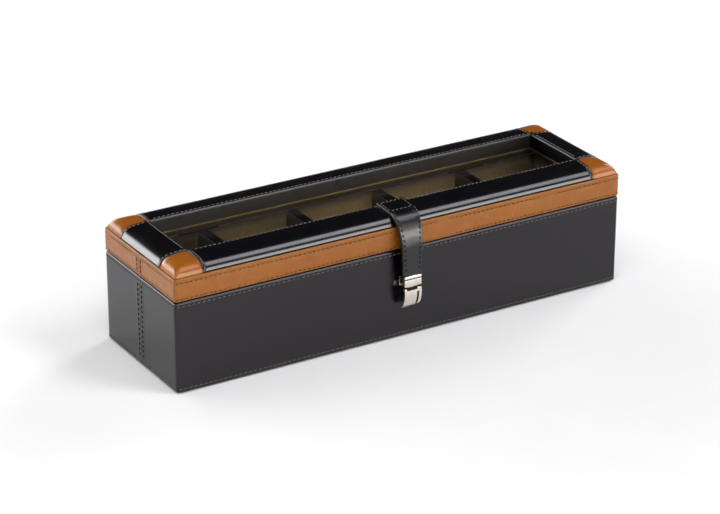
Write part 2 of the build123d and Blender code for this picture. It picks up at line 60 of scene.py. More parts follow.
# ------------------------------------------------------------------ materials
class Tree:
    """A short way to write a node tree."""

    def __init__(self, mat):
        mat.use_nodes = True
        self.nt = mat.node_tree
        self.nt.nodes.clear()
        self.out = self.nt.nodes.new("ShaderNodeOutputMaterial")

    def node(self, kind, inputs=None, **props):
        n = self.nt.nodes.new("ShaderNode" + kind)
        for k, v in props.items():
            setattr(n, k, v)
        for k, v in (inputs or {}).items():
            if isinstance(v, bpy.types.NodeSocket):
                self.nt.links.new(v, n.inputs[k])
            else:
                n.inputs[k].default_value = v
        return n

    def link(self, a, b):
        self.nt.links.new(a, b)

    def coords(self, scale=(1, 1, 1), kind="Object"):
        c = self.node("TexCoord")
        m = self.node("Mapping", {"Vector": c.outputs[kind], "Scale": scale})
        return m.outputs["Vector"]

    def noise(self, scale, detail=3.0, rough=0.5, vec=None, distortion=0.0):
        ins = {"Scale": scale, "Detail": detail, "Roughness": rough, "Distortion": distortion}
        if vec is not None:
            ins["Vector"] = vec
        return self.node("TexNoise", ins).outputs["Fac"]

    def ranged(self, value, a, b, lo=0.0, hi=1.0, smooth=False):
        n = self.node("MapRange", {"Value": value, "From Min": a, "From Max": b, "To Min": lo, "To Max": hi})
        if smooth:
            n.interpolation_type = "SMOOTHSTEP"
        return n.outputs["Result"]

    def mix(self, fac, a, b, mode="MIX"):
        n = self.node("Mix", data_type="RGBA", blend_type=mode)
        for i, v in ((0, fac), (6, a), (7, b)):
            if isinstance(v, bpy.types.NodeSocket):
                self.nt.links.new(v, n.inputs[i])
            else:
                n.inputs[i].default_value = v
        return n.outputs[2]

    def math(self, op, a, b=None, clamp=False):
        n = self.node("Math", operation=op, use_clamp=clamp)
        for i, v in enumerate((a, b)):
            if v is None:
                continue
            if isinstance(v, bpy.types.NodeSocket):
                self.nt.links.new(v, n.inputs[i])
            else:
                n.inputs[i].default_value = v
        return n.outputs[0]

    def bump(self, height, strength, distance, normal=None):
        ins = {"Height": height, "Strength": strength, "Distance": distance}
        if normal is not None:
            ins["Normal"] = normal
        return self.node("Bump", ins).outputs["Normal"]


def rgb(r, g, b):
    return (r, g, b, 1.0)


def leather(name, base, light, dark, rough, coat=0.0, coat_rough=0.1, grain=0.2, soft=0.12, cell=950.0,
            mottle=0.5, spec=0.5, ior=1.5, brush=0.0, tint=(1.0, 1.0, 1.0, 1.0)):
    """Finished leather: pebbled grain, fine pores, mottled dye; the burn_and_shade attribute darkens it where it is
    burnished and where shade is painted in, in creases, stitch grooves and shaded ends.
    """
    m = bpy.data.materials.new(name)
    t = Tree(m)
    vec = t.coords()
    big = t.noise(9.0, 3.0, 0.55, vec)
    mid = t.noise(75.0, 4.0, 0.6, vec, 0.4)
    fine = t.noise(3200.0, 2.0, 0.5, vec)
    warp = t.node("TexNoise", {"Vector": vec, "Scale": 400.0, "Detail": 2.0}).outputs["Color"]
    bent = t.node("VectorMath", {0: vec, 1: warp}, operation="MULTIPLY_ADD")
    bent.inputs[1].default_value = (0.0006, 0.0006, 0.0006)
    t.link(warp, bent.inputs[0])
    t.link(vec, bent.inputs[2])
    cells = t.node("TexVoronoi", {"Vector": bent.outputs[0], "Scale": cell, "Randomness": 1.0}, feature="DISTANCE_TO_EDGE")
    pebble = t.ranged(cells.outputs["Distance"], 0.0, 0.12, 0.0, 1.0, True)
    burn_and_shade = t.node("Attribute", attribute_name="burn_and_shade", attribute_type="GEOMETRY").outputs["Fac"]
    shade = t.math("ADD", t.math("MULTIPLY", t.ranged(big, 0.3, 0.7), 0.55), t.math("MULTIPLY", t.ranged(mid, 0.3, 0.7), 0.45))
    col = t.mix(t.math("MULTIPLY", shade, mottle), base, light)
    col = t.mix(t.ranged(mid, 0.62, 0.82, 0.0, mottle * 0.5), col, dark)
    col = t.mix(t.math("MULTIPLY", t.math("SUBTRACT", 1.0, pebble), 0.35 * grain * 4), col, dark)
    # burnish and painted shade: this darkens the colour at burnished edges and where shade is painted into creases,
    # grooves and shaded ends
    col = t.mix(t.math("MULTIPLY", burn_and_shade, 0.85, True), col, dark)
    r = t.math("ADD", t.ranged(mid, 0.25, 0.75, rough - 0.05, rough + 0.06), t.math("MULTIPLY", burn_and_shade, 0.14))
    r = t.math("ADD", r, t.math("MULTIPLY", t.math("SUBTRACT", 1.0, pebble), 0.05))
    streak = t.noise(1.0, 3.0, 0.6, t.coords((60.0, 60.0, 900.0)))
    height = t.math("ADD", t.math("MULTIPLY", pebble, 0.75), t.math("MULTIPLY", fine, 0.25))
    nrm = t.bump(big, soft, 0.0035)
    nrm = t.bump(mid, soft, 0.0006, nrm)
    nrm = t.bump(height, grain, 0.00006, nrm)
    if brush:
        nrm = t.bump(streak, brush, 0.00008, nrm)
    p = t.node("BsdfPrincipled", {"Base Color": col, "Roughness": r, "Normal": nrm, "IOR": ior,
                                  "Specular IOR Level": spec, "Specular Tint": tint, "Coat Weight": coat,
                                  "Coat Roughness": coat_rough})
    t.link(nrm, p.inputs["Coat Normal"])
    t.link(p.outputs[0], t.out.inputs["Surface"])
    return m


def suede(name, base, light, dark, sheen=0.2, nap=0.3, painted_light_ramps=()):
    """Short napped suede: brushed patches, speckled fibre, soft sheen; painted_light_ramps are (axis, from, to, factor,
    factor) in mm, ramps that scale the colour to paint light and shade along that axis.
    """
    m = bpy.data.materials.new(name)
    t = Tree(m)
    vec = t.coords()
    patch = t.noise(26.0, 4.0, 0.6, vec, 0.8)
    fibre = t.noise(1500.0, 3.0, 0.7, t.coords((1.0, 1.0, 0.45)))
    speck = t.noise(4200.0, 2.0, 0.5, vec)
    col = t.mix(t.ranged(patch, 0.34, 0.66, 0.0, nap, True), base, light)
    col = t.mix(t.ranged(fibre, 0.35, 0.7, 0.0, 0.55), col, dark)
    col = t.mix(t.ranged(speck, 0.55, 0.8, 0.0, 0.35), col, light)
    at = t.node("SeparateXYZ", {0: t.node("TexCoord").outputs["Object"]})
    # painted light and shade: each ramp scales the colour along its axis
    for axis, a, b, fa, fb in painted_light_ramps:
        col = t.node("VectorMath", {0: col, "Scale": t.ranged(at.outputs[axis], a * MM, b * MM, fa, fb, True)}, operation="SCALE").outputs["Vector"]
    r = t.ranged(fibre, 0.2, 0.8, 0.82, 0.98)
    nrm = t.bump(patch, 0.05, 0.0004)
    nrm = t.bump(fibre, 0.5, 0.00015, nrm)
    p = t.node("BsdfPrincipled", {"Base Color": col, "Roughness": r, "Normal": nrm, "Specular IOR Level": 0.08,
                                  "Sheen Weight": sheen, "Sheen Roughness": 0.45, "Sheen Tint": light})
    t.link(p.outputs[0], t.out.inputs["Surface"])
    return m


def thread(name, base, dark, spec=0.3, sheen=0.1):
    m = bpy.data.materials.new(name)
    t = Tree(m)
    ply = t.noise(1.0, 2.0, 0.5, t.coords((2600.0, 2600.0, 2600.0)))
    wear = t.noise(240.0, 2.0, 0.5, t.coords())
    col = t.mix(t.ranged(ply, 0.35, 0.65), dark, base)
    col = t.mix(t.ranged(wear, 0.45, 0.75, 0.0, 0.5), col, dark)
    nrm = t.bump(ply, 0.5, 0.0001)
    p = t.node("BsdfPrincipled", {"Base Color": col, "Roughness": t.ranged(ply, 0.3, 0.7, 0.55, 0.75), "Normal": nrm,
                                  "Specular IOR Level": spec, "Sheen Weight": sheen})
    t.link(p.outputs[0], t.out.inputs["Surface"])
    return m


def metal(name, col_a, col_b, rough, brush=(40.0, 900.0, 900.0), scratch=0.25, dull=0.12, shaded_recesses=(), darker_below_y=None):
    """Plated metal: brushed lines, handling marks, duller patches; shaded_recesses are (x0, x1, z0, z1) boxes painted
    dark brown and rougher as the shade in a recess.
    """
    m = bpy.data.materials.new(name)
    t = Tree(m)
    vec = t.coords()
    lines = t.noise(1.0, 4.0, 0.6, t.coords(brush))
    cloud = t.noise(160.0, 3.0, 0.6, vec)
    spots = t.noise(900.0, 2.0, 0.5, vec)
    col = t.mix(t.ranged(cloud, 0.3, 0.7), col_a, col_b)
    r = t.math("ADD", t.ranged(lines, 0.25, 0.75, rough - 0.04, rough + 0.07), t.ranged(cloud, 0.45, 0.8, 0.0, dull))
    r = t.math("ADD", r, t.ranged(spots, 0.62, 0.8, 0.0, 0.12))
    nrm = t.bump(lines, scratch, 0.00003)
    if shaded_recesses:
        at = t.node("SeparateXYZ", {0: t.node("TexCoord").outputs["Object"]})
        for x0, x1, z0, z1 in shaded_recesses:
            fade = 0.15 * MM
            mask = t.math("MULTIPLY", t.ranged(at.outputs["X"], (x0 * MM) - fade, x0 * MM), t.ranged(at.outputs["X"], x1 * MM, (x1 * MM) + fade, 1.0, 0.0))
            mask = t.math("MULTIPLY", mask, t.ranged(at.outputs["Z"], (z0 * MM) - fade, z0 * MM))
            mask = t.math("MULTIPLY", mask, t.ranged(at.outputs["Z"], z1 * MM, (z1 * MM) + fade, 1.0, 0.0))
            # painted shade: the recess box is painted dark brown
            col = t.mix(mask, col, t.mix(t.ranged(cloud, 0.3, 0.7), rgb(0.030, 0.020, 0.012), rgb(0.014, 0.010, 0.007)))
            r = t.math("ADD", r, t.math("MULTIPLY", mask, 0.25))
    # the colour turns near black where y lies below this band
    if darker_below_y:
        at = t.node("SeparateXYZ", {0: t.node("TexCoord").outputs["Object"]})
        col = t.mix(t.ranged(at.outputs["Y"], darker_below_y[0] * MM, darker_below_y[1] * MM, 1.0, 0.0), col, rgb(0.02, 0.017, 0.014))
    p = t.node("BsdfPrincipled", {"Base Color": col, "Metallic": 1.0, "Roughness": r, "Normal": nrm})
    t.link(p.outputs[0], t.out.inputs["Surface"])
    return m


def wood(name, base, dark, along=(4.0, 60.0, 60.0)):
    m = bpy.data.materials.new(name)
    t = Tree(m)
    grain = t.noise(3.0, 5.0, 0.6, t.coords(along), 1.2)
    pore = t.noise(1.0, 2.0, 0.5, t.coords((120.0, 2600.0, 2600.0)))
    col = t.mix(t.ranged(grain, 0.3, 0.7), base, dark)
    col = t.mix(t.ranged(pore, 0.5, 0.8, 0.0, 0.5), col, dark)
    nrm = t.bump(pore, 0.4, 0.0001)
    p = t.node("BsdfPrincipled", {"Base Color": col, "Roughness": t.ranged(grain, 0.2, 0.8, 0.6, 0.75), "Normal": nrm})
    t.link(p.outputs[0], t.out.inputs["Surface"])
    return m


def felt(name, base, dark):
    m = bpy.data.materials.new(name)
    t = Tree(m)
    vec = t.coords()
    a = t.noise(1400.0, 4.0, 0.7, vec, 2.0)
    b = t.noise(45.0, 3.0, 0.5, vec)
    col = t.mix(t.ranged(a, 0.3, 0.7), dark, base)
    col = t.mix(t.ranged(b, 0.4, 0.7, 0.0, 0.4), col, dark)
    p = t.node("BsdfPrincipled", {"Base Color": col, "Roughness": t.ranged(a, 0.3, 0.7, 0.85, 1.0), "Normal": t.bump(a, 0.7, 0.0003),
                                  "Sheen Weight": 0.3, "Specular IOR Level": 0.1})
    t.link(p.outputs[0], t.out.inputs["Surface"])
    return m


def pane(name):
    m = bpy.data.materials.new(name)
    t = Tree(m)
    smear = t.noise(38.0, 3.0, 0.6, t.coords())
    p = t.node("BsdfPrincipled", {"Base Color": rgb(0.985, 0.982, 0.97), "Transmission Weight": 1.0, "IOR": 1.5,
                                  "Roughness": t.ranged(smear, 0.5, 0.9, 0.0, 0.03)})
    clear = t.node("BsdfTransparent", {"Color": rgb(0.92, 0.92, 0.91)})
    path = t.node("LightPath")
    mix = t.node("MixShader", {0: path.outputs["Is Shadow Ray"]})
    t.link(p.outputs[0], mix.inputs[1])
    t.link(clear.outputs[0], mix.inputs[2])
    t.link(mix.outputs[0], t.out.inputs["Surface"])
    return m


BLACK = leather("black_leather_gloss", rgb(0.0028, 0.0024, 0.0036), rgb(0.0052, 0.0048, 0.0066), rgb(0.002, 0.002, 0.002),
                0.13, grain=0.1, soft=0.05, cell=1100.0, ior=1.52)
BASE = leather("black_leather_side", rgb(0.0016, 0.0010, 0.0026), rgb(0.003, 0.0022, 0.0042), rgb(0.001, 0.001, 0.001),
               0.16, grain=0.14, soft=0.05, cell=1000.0, ior=1.475, tint=rgb(1.0, 0.96, 1.0))
INNER = leather("black_leather_inner", rgb(0.013, 0.0095, 0.0075), rgb(0.034, 0.026, 0.021), rgb(0.003, 0.0025, 0.002),
                0.3, grain=0.9, soft=0.5, cell=420.0, mottle=1.0, spec=0.35, brush=0.8)
# painted shade: a darker copy of the inner leather for the window's right wall, which lies in shade
INNER_PAINTED_SHADE = leather("black_leather_shaded", rgb(0.0035, 0.003, 0.0035), rgb(0.008, 0.007, 0.008), rgb(0.0015, 0.0015, 0.0015),
                  0.45, grain=0.7, soft=0.4, cell=420.0, mottle=0.9, spec=0.02)
# painted highlight: black leather painted light grey for the band's turned-in edge
RIM_PAINTED_HIGHLIGHT = leather("black_leather_rim_painted_highlight", rgb(0.20, 0.187, 0.205), rgb(0.27, 0.252, 0.275), rgb(0.07, 0.065, 0.07), 0.25, grain=0.3, soft=0.1)
# painted highlight: glossier leather for the window's rolled top edge, its colour painted lighter as a highlight line
ROLL_PAINTED_HIGHLIGHT = leather("black_leather_roll_painted_highlight", rgb(0.030, 0.027, 0.027), rgb(0.052, 0.047, 0.047), rgb(0.003, 0.003, 0.003),
               0.2, grain=0.25, soft=0.1, cell=900.0, ior=1.56)
STRAP = leather("strap_leather_gloss", rgb(0.0028, 0.0026, 0.0034), rgb(0.0055, 0.0052, 0.0064), rgb(0.002, 0.002, 0.002),
                0.09, grain=0.26, soft=0.16, cell=800.0, ior=1.53)
TAN = leather("tan_leather_side", rgb(0.232, 0.066, 0.0012), rgb(0.295, 0.096, 0.003), rgb(0.085, 0.023, 0.002),
              0.25, grain=0.35, soft=0.12, cell=1000.0, mottle=0.7, brush=0.5, tint=rgb(1.0, 0.93, 0.84))
TAN_TOP = leather("tan_leather_top", rgb(0.265, 0.077, 0.0075), rgb(0.33, 0.106, 0.0125), rgb(0.115, 0.030, 0.005),
                  0.12, grain=0.16, soft=0.3, cell=1000.0, mottle=0.85, spec=0.32, tint=rgb(1.0, 0.95, 0.88))
FLESH = leather("leather_back", rgb(0.05, 0.035, 0.022), rgb(0.08, 0.06, 0.04), rgb(0.03, 0.02, 0.012), 0.75, grain=0.5)
EDGE = leather("edge_paint", rgb(0.006, 0.006, 0.006), rgb(0.012, 0.011, 0.011), rgb(0.003, 0.003, 0.003), 0.35, grain=0.1)
# painted light and shade on the lining: darker at the left end, lighter from the middle towards the right, darker again
# at the right end, and darker towards the top under the lid
SUEDE = suede("suede_lining", rgb(0.43, 0.315, 0.15), rgb(0.58, 0.44, 0.22), rgb(0.21, 0.15, 0.068),
              painted_light_ramps=(("X", -118, -84, 0.35, 1.0), ("X", -60, 30, 1.0, 1.45), ("X", 132, 160, 1.0, 0.5), ("Z", 55, 62.5, 1.0, 0.5)))
# painted shade: a darker copy of the lining suede for the lid lining, painted darker still at the right end and on the
# back inner wall
SUEDE_LID_PAINTED_SHADE = suede("suede_lid_painted_shade", rgb(0.25, 0.18, 0.085), rgb(0.35, 0.26, 0.125), rgb(0.12, 0.083, 0.036),
                painted_light_ramps=(("X", 132, 160, 1.0, 0.5), ("Y", 40.2, 41.4, 1.0, 0.5)))
# painted shade: a much darker copy of the lining suede for the dividers, whose sides lie in shade
SUEDE_DIVIDER_PAINTED_SHADE = suede("suede_divider_painted_shade", rgb(0.105, 0.073, 0.031), rgb(0.15, 0.107, 0.048), rgb(0.048, 0.033, 0.014))
SUEDE_C = suede("suede_cushion", rgb(0.29, 0.205, 0.092), rgb(0.41, 0.30, 0.14), rgb(0.14, 0.096, 0.042), 0.35, 0.55)
PIPING = suede("suede_piping", rgb(0.20, 0.14, 0.062), rgb(0.29, 0.21, 0.10), rgb(0.095, 0.065, 0.03), 0.25, 0.4)
THREAD_TAN = thread("thread_olive", rgb(0.27, 0.155, 0.042), rgb(0.085, 0.042, 0.012), 0.15, 0.0)
THREAD_BASE = thread("thread_taupe", rgb(0.175, 0.145, 0.12), rgb(0.075, 0.062, 0.05), 0.15)
THREAD_SEAM = thread("thread_red_brown", rgb(0.036, 0.011, 0.004), rgb(0.014, 0.005, 0.002), 0.06, 0.0)
# painted shade: needle holes are shallow dimples painted dark for the shade inside them
HOLE_TAN = thread("needle_hole_shade_brown", rgb(0.024, 0.010, 0.003), rgb(0.010, 0.005, 0.002), 0.0, 0.0)
HOLE_BLACK = thread("needle_hole_shade_black", rgb(0.0015, 0.0015, 0.0015), rgb(0.0008, 0.0008, 0.0008), 0.0, 0.0)
THREAD_BLACK = thread("thread_dark", rgb(0.010, 0.008, 0.006), rgb(0.003, 0.0025, 0.002), 0.06, 0.0)
THREAD_BAR = thread("thread_grey_brown", rgb(0.26, 0.225, 0.195), rgb(0.09, 0.075, 0.065))
THREAD_STRAP = thread("thread_brown", rgb(0.17, 0.13, 0.10), rgb(0.05, 0.037, 0.028))
THREAD_STRAP_D = thread("thread_strap_dark", rgb(0.034, 0.023, 0.016), rgb(0.008, 0.006, 0.005), 0.06, 0.0)
NICKEL = metal("nickel_plate", rgb(0.66, 0.595, 0.53), rgb(0.56, 0.505, 0.45), 0.2)
# painted shade: the sleeve's groove and lower knuckle, and the lever's top edge and slit, are painted dark
NICKEL_SLEEVE = metal("nickel_sleeve", rgb(0.80, 0.72, 0.645), rgb(0.68, 0.61, 0.55), 0.2, shaded_recesses=((-9.0, 9.0, 44.05, 44.65), (-9.0, 9.0, 35.0, 38.8)))
NICKEL_LEVER = metal("nickel_lever", rgb(0.75, 0.675, 0.60), rgb(0.65, 0.585, 0.52), 0.22, shaded_recesses=((-9.0, 9.0, 37.6, 39.0), (2.95, 4.25, 25.1, 35.0)))
# painted shade: a darkened, rougher copy of the nickel for the catch plate and pins, which lie in the strap's shadow
NICKEL_DULL_PAINTED_SHADE = metal("nickel_dull_painted_shade", rgb(0.20, 0.175, 0.15), rgb(0.12, 0.105, 0.09), 0.34)
STEEL = metal("hinge_steel", rgb(0.62, 0.58, 0.5), rgb(0.5, 0.46, 0.4), 0.28, (900.0, 60.0, 900.0), darker_below_y=(43.6, 44.4))
GILT = metal("gilt_line", rgb(0.20, 0.15, 0.05), rgb(0.12, 0.09, 0.03), 0.45)
WOOD = wood("board_wood", rgb(0.36, 0.23, 0.12), rgb(0.24, 0.14, 0.065))
FELT = felt("underside_felt", rgb(0.03, 0.03, 0.032), rgb(0.012, 0.012, 0.013))
GLASS = pane("window_glass")


# ------------------------------------------------------------------ mesh tools
def finish_mesh(name, verts, faces, ids, mats, burn_and_shade=None, angle=38.0, recalc=True):
    me = bpy.data.meshes.new(name)
    me.from_pydata((np.asarray(verts, float) * MM).tolist(), [], faces)
    for m in mats:
        me.materials.append(m)
    if ids is not None:
        me.polygons.foreach_set("material_index", np.asarray(ids, np.int32))
    if burn_and_shade is not None:
        a = me.attributes.new("burn_and_shade", "FLOAT", "POINT")
        a.data.foreach_set("value", np.asarray(burn_and_shade, np.float32))
    if recalc:
        bm = bmesh.new()
        bm.from_mesh(me)
        bmesh.ops.recalc_face_normals(bm, faces=bm.faces)
        bm.to_mesh(me)
        bm.free()
    me.update()
    me.polygons.foreach_set("use_smooth", np.ones(len(me.polygons), bool))
    me.set_sharp_from_angle(angle=math.radians(angle))
    ob = bpy.data.objects.new(name, me)
    scene.collection.objects.link(ob)
    return ob


def shell(name, outer, inner, mats, burn_and_shade=None, close_u=False, close_v=False, angle=38.0):
    """Closed piece between two matching grids of points, outer and inner."""
    P, Q = np.asarray(outer, float), np.asarray(inner, float)
    nu, nv = P.shape[:2]
    idx = np.arange(nu * nv).reshape(nu, nv)
    off = nu * nv
    faces, ids = [], []

    def add(a, b, c, d, k):
        q = np.stack([np.ravel(a), np.ravel(b), np.ravel(c), np.ravel(d)], -1).tolist()
        faces.extend(q)
        ids.extend([k] * len(q))

    iu = np.arange(nu if close_u else nu - 1)
    iv = np.arange(nv if close_v else nv - 1)
    ju, jv = (iu + 1) % nu, (iv + 1) % nv
    A, B, C, D = idx[np.ix_(iu, iv)], idx[np.ix_(ju, iv)], idx[np.ix_(ju, jv)], idx[np.ix_(iu, jv)]
    add(A, B, C, D, 0)
    add(A + off, D + off, C + off, B + off, 1)
    if not close_v:
        a, b = idx[iu, 0], idx[ju, 0]
        add(a, a + off, b + off, b, 2)
        a, b = idx[iu, nv - 1], idx[ju, nv - 1]
        add(a, b, b + off, a + off, 2)
    if not close_u:
        a, b = idx[0, iv], idx[0, jv]
        add(a, b, b + off, a + off, 2)
        a, b = idx[nu - 1, iv], idx[nu - 1, jv]
        add(a, a + off, b + off, b, 2)
    verts = np.concatenate([P.reshape(-1, 3), Q.reshape(-1, 3)])
    if burn_and_shade is not None:
        burn_and_shade = np.concatenate([np.ravel(burn_and_shade), np.zeros(off)])
    mats = list(mats) + [mats[-1]] * (3 - len(mats))
    return finish_mesh(name, verts, faces, ids, mats, burn_and_shade, angle)


def wave(P, scale, seed):
    """Smooth noise in -1..1 at each point."""
    flat = np.asarray(P, float).reshape(-1, 3)
    s = 1.0 / scale
    out = [noise.noise(Vector((p[0] * s + seed, p[1] * s - seed, p[2] * s + 0.5 * seed))) for p in flat]
    return np.array(out).reshape(np.asarray(P).shape[:-1])


def bell(v, at, width):
    return np.exp(-((np.asarray(v, float) - at) / width) ** 2)


def steps(a, b, target):
    n = max(1, int(round(abs(b - a) / target)))
    return list(np.linspace(a, b, n + 1))


def arc_pts(c0, c1, r, a0, a1, n):
    return [(c0 + r * math.cos(math.radians(a)), c1 + r * math.sin(math.radians(a))) for a in np.linspace(a0, a1, n)]


def rounded_track(x_stops, y_stops, corner_steps):
    """Stations of half a rounded rectangle, from the left end's middle round the front to the right end's middle."""
    track = [("L", y) for y in y_stops]
    track += [("FL", a) for a in np.linspace(180, 270, corner_steps + 2)[1:-1]]
    track += [("F", x) for x in x_stops]
    track += [("FR", a) for a in np.linspace(270, 360, corner_steps + 2)[1:-1]]
    track += [("R", y) for y in y_stops[::-1]]
    return track


def squeeze(v, keep, full, now):
    a = abs(v)
    if a <= keep:
        return v
    return math.copysign(keep + (a - keep) * (now - keep) / (full - keep), v)


def on_track(st, hx, hy, r0, off, r, keep_x=150.0, keep_y=30.0, offy=None):
    """Point and outward direction of a station, moved out by off, where the corner has radius r."""
    kind, v = st
    offy = off if offy is None else offy
    X, Y = hx + off, hy + offy
    if kind == "F":
        return (squeeze(v, keep_x, hx - r0, X - r), -Y), (0.0, -1.0)
    if kind in "LR":
        s = -1.0 if kind == "L" else 1.0
        return (s * X, squeeze(v, keep_y, hy - r0, Y - r)), (s, 0.0)
    a = math.radians(v)
    cx = -(X - r) if kind == "FL" else X - r
    return (cx + r * math.cos(a), -(Y - r) + r * math.sin(a)), (math.cos(a), math.sin(a))


# ------------------------------------------------------------------ stitches
def stitch_mesh(name, lines, mat, pitch=3.6, length=2.7, radius=0.32, rise=0.22, slant=5.0, sink=0.55, hole=None, hole_r=0.42):
    """Thread stitches along lines. Each line is (points, normals); every stitch bends with its line, and dives into a needle hole."""
    rings, sides = 7, 6
    us = np.linspace(-1, 1, rings)
    ang = np.arange(sides) / sides * 2 * math.pi
    verts, faces, ids = [], [], []
    total = 0

    def frame_at(s, pts, nrm, q):
        P = np.stack([np.interp(q, s, pts[:, i]) for i in range(3)], -1)
        N = np.stack([np.interp(q, s, nrm[:, i]) for i in range(3)], -1)
        N /= np.linalg.norm(N, axis=1)[:, None]
        T = np.gradient(P, axis=0)
        T /= np.linalg.norm(T, axis=1)[:, None]
        B = np.cross(N, T)
        B /= np.linalg.norm(B, axis=1)[:, None]
        return P, N, T, B

    for pts, nrm in lines:
        pts, nrm = np.asarray(pts, float), np.asarray(nrm, float)
        seg = np.linalg.norm(np.diff(pts, axis=0), axis=1)
        s = np.concatenate([[0], np.cumsum(seg)])
        n = int(s[-1] // pitch)
        if n < 1:
            continue
        start = (s[-1] - n * pitch) / 2 + pitch / 2
        for k in range(n):
            c = start + k * pitch
            P, N, T, B = frame_at(s, pts, nrm, np.clip(c + us * length / 2, 0, s[-1]))
            sk = us * length / 2 * math.tan(math.radians(slant))
            h = rise - sink * us ** 4
            C = P + B * sk[:, None] + N * h[:, None]
            r = radius * (1 - 0.3 * us ** 2)
            ring = C[:, None, :] + (B[:, None, :] * np.cos(ang)[None, :, None] + N[:, None, :] * np.sin(ang)[None, :, None] * 0.85) * r[:, None, None]
            verts.append(ring.reshape(-1, 3))
            for i in range(rings - 1):
                for j in range(sides):
                    a = total + i * sides + j
                    b = total + i * sides + (j + 1) % sides
                    faces.append([a, b, b + sides, a + sides])
            faces.append([total + j for j in range(sides)][::-1])
            faces.append([total + (rings - 1) * sides + j for j in range(sides)])
            ids += [0] * ((rings - 1) * sides + 2)
            total += rings * sides
        if hole is None:
            continue
        # needle holes: shallow dimples painted dark as the shade inside them
        for k in range(n + 1):
            q = np.clip(start + (k - 0.5) * pitch + np.array([-0.05, 0.0, 0.05]), 0, s[-1])
            P, N, T, B = frame_at(s, pts, nrm, q)
            a8 = np.arange(8) / 8 * 2 * math.pi
            rim = P[1] + N[1] * 0.13 + hole_r * (T[1] * 1.15 * np.cos(a8)[:, None] + B[1] * np.sin(a8)[:, None])
            low = P[1] - N[1] * 0.12 + 0.5 * hole_r * (T[1] * np.cos(a8)[:, None] + B[1] * np.sin(a8)[:, None])
            verts.append(np.concatenate([rim, low]))
            for j in range(8):
                m = (j + 1) % 8
                faces.append([total + j, total + m, total + 8 + m, total + 8 + j])
            faces.append([total + 8 + j for j in range(8)])
            faces.append([total + j for j in range(8)][::-1])
            ids += [1] * 10
            total += 16
    return finish_mesh(name, np.concatenate(verts), faces, ids, [mat] if hole is None else [mat, hole], None, 60.0, recalc=False)


def rect_line(hx, hy, r, z, off, sy, gap=0.9):
    """Line round half of the box at height z, from seam to seam, with its outward normals."""
    track = rounded_track(steps(-(hx - r), hx - r, 3.0), steps(-gap, -(hy - r), 3.0), 7)
    pts, nrm = [], []
    for st in track:
        (x, y), (nx, ny) = on_track(st, hx, hy, r, off, max(r + off, 0.05))
        pts.append((x, y * sy, z))
        nrm.append((nx, ny * sy, 0.0))
    return pts, nrm


# ------------------------------------------------------------------ base wrap and band
def seam_lift(y):
    """Extra height of the leather beside the stitched seam in the middle of each end."""
    a = abs(y)
    if a > 5.2:
        return 0.0
    lift = 0.10 * min(1.0, max(0.0, (5.2 - a) / 1.3)) ** 2 * (3 - 2 * min(1.0, max(0.0, (5.2 - a) / 1.3)))
    lift -= 0.12 * math.exp(-((a - 2.5) / 0.5) ** 2)
    if a < 0.5:
        lift -= 0.16 * (1 - math.sqrt(max(0.0, 1 - ((0.5 - a) / 0.5) ** 2)))
    return lift


SEAM_STOPS = [0.03, 0.1, 0.22, 0.36, 0.5, 0.9, 1.4, 1.9, 2.2, 2.5, 2.8, 3.1, 3.6, 4.1, 4.6, 5.2, 6.5, 8.5]


def wrap_half(name, outer, inner, hx, hy, r0, sy, mats, burn_and_shade_at, notch=None, wob=0.05, seed=1.0, wrinkle=0.0):
    """Half of a leather skin swept round the box. outer and inner are matching (off, z) profiles."""
    ys = [-v for v in SEAM_STOPS] + steps(-11.0, -(hy - r0), 3.5)
    xs = steps(-(hx - r0), hx - r0, 4.0)
    if notch:
        for xc in (-105.0, 105.0):
            xs += [xc - 15.03, xc - 14.99, xc + 14.99, xc + 15.03]
        xs = sorted(set(xs))
    track = rounded_track(xs, ys, 9)
    P, Q, burn_and_shade = [], [], []
    for st in track:
        rowp, rowq, rowb = [], [], []
        for (o, z), (oi, zi) in zip(outer, inner):
            lift = 0.0
            if st[0] in "LR" and o > -0.75:
                lift = seam_lift(st[1]) * min(1.0, (o + 0.75) / 0.6)
            (x, y), d = on_track(st, hx, hy, r0, o, max(r0 + o, 0.02))
            x, y = x + d[0] * lift, y + d[1] * lift
            (xi, yi), _ = on_track(st, hx, hy, r0, oi, max(r0 + oi, 0.01))
            if notch and st[0] == "F" and any(abs(x - xc) < 15.01 for xc in (-105.0, 105.0)):
                z = notch(z)
            rowp.append((x, y * sy, z))
            rowq.append((xi, yi * sy, zi))
            b = burn_and_shade_at(o, z)
            # burnish and painted shade in the end seams' stitch grooves and middle line
            if st[0] in "LR":
                b += 0.5 * math.exp(-((abs(st[1]) - 2.5) / 0.6) ** 2) + 0.5 * math.exp(-(st[1] / 0.4) ** 2)
            rowb.append(min(1.0, b))
        P.append(rowp)
        Q.append(rowq)
        burn_and_shade.append(rowb)
    P, Q = np.array(P), np.array(Q)
    face = np.array([1.0 if o > -0.3 else 0.0 for o, _ in outer])
    w = (wave(P, 34.0, seed) * wob + wave(P, 7.0, seed + 3) * wrinkle) * face[None, :]
    dirs = np.array([[*on_track(st, hx, hy, r0, 0.0, r0)[1]] for st in track])
    P[..., 0] += w * dirs[:, 0][:, None]
    P[..., 1] += w * dirs[:, 1][:, None] * sy
    return shell(name, P, Q, mats, np.array(burn_and_shade))


ST_LOW, ST_HIGH = 3.1, 60.2     # stitch lines on the base


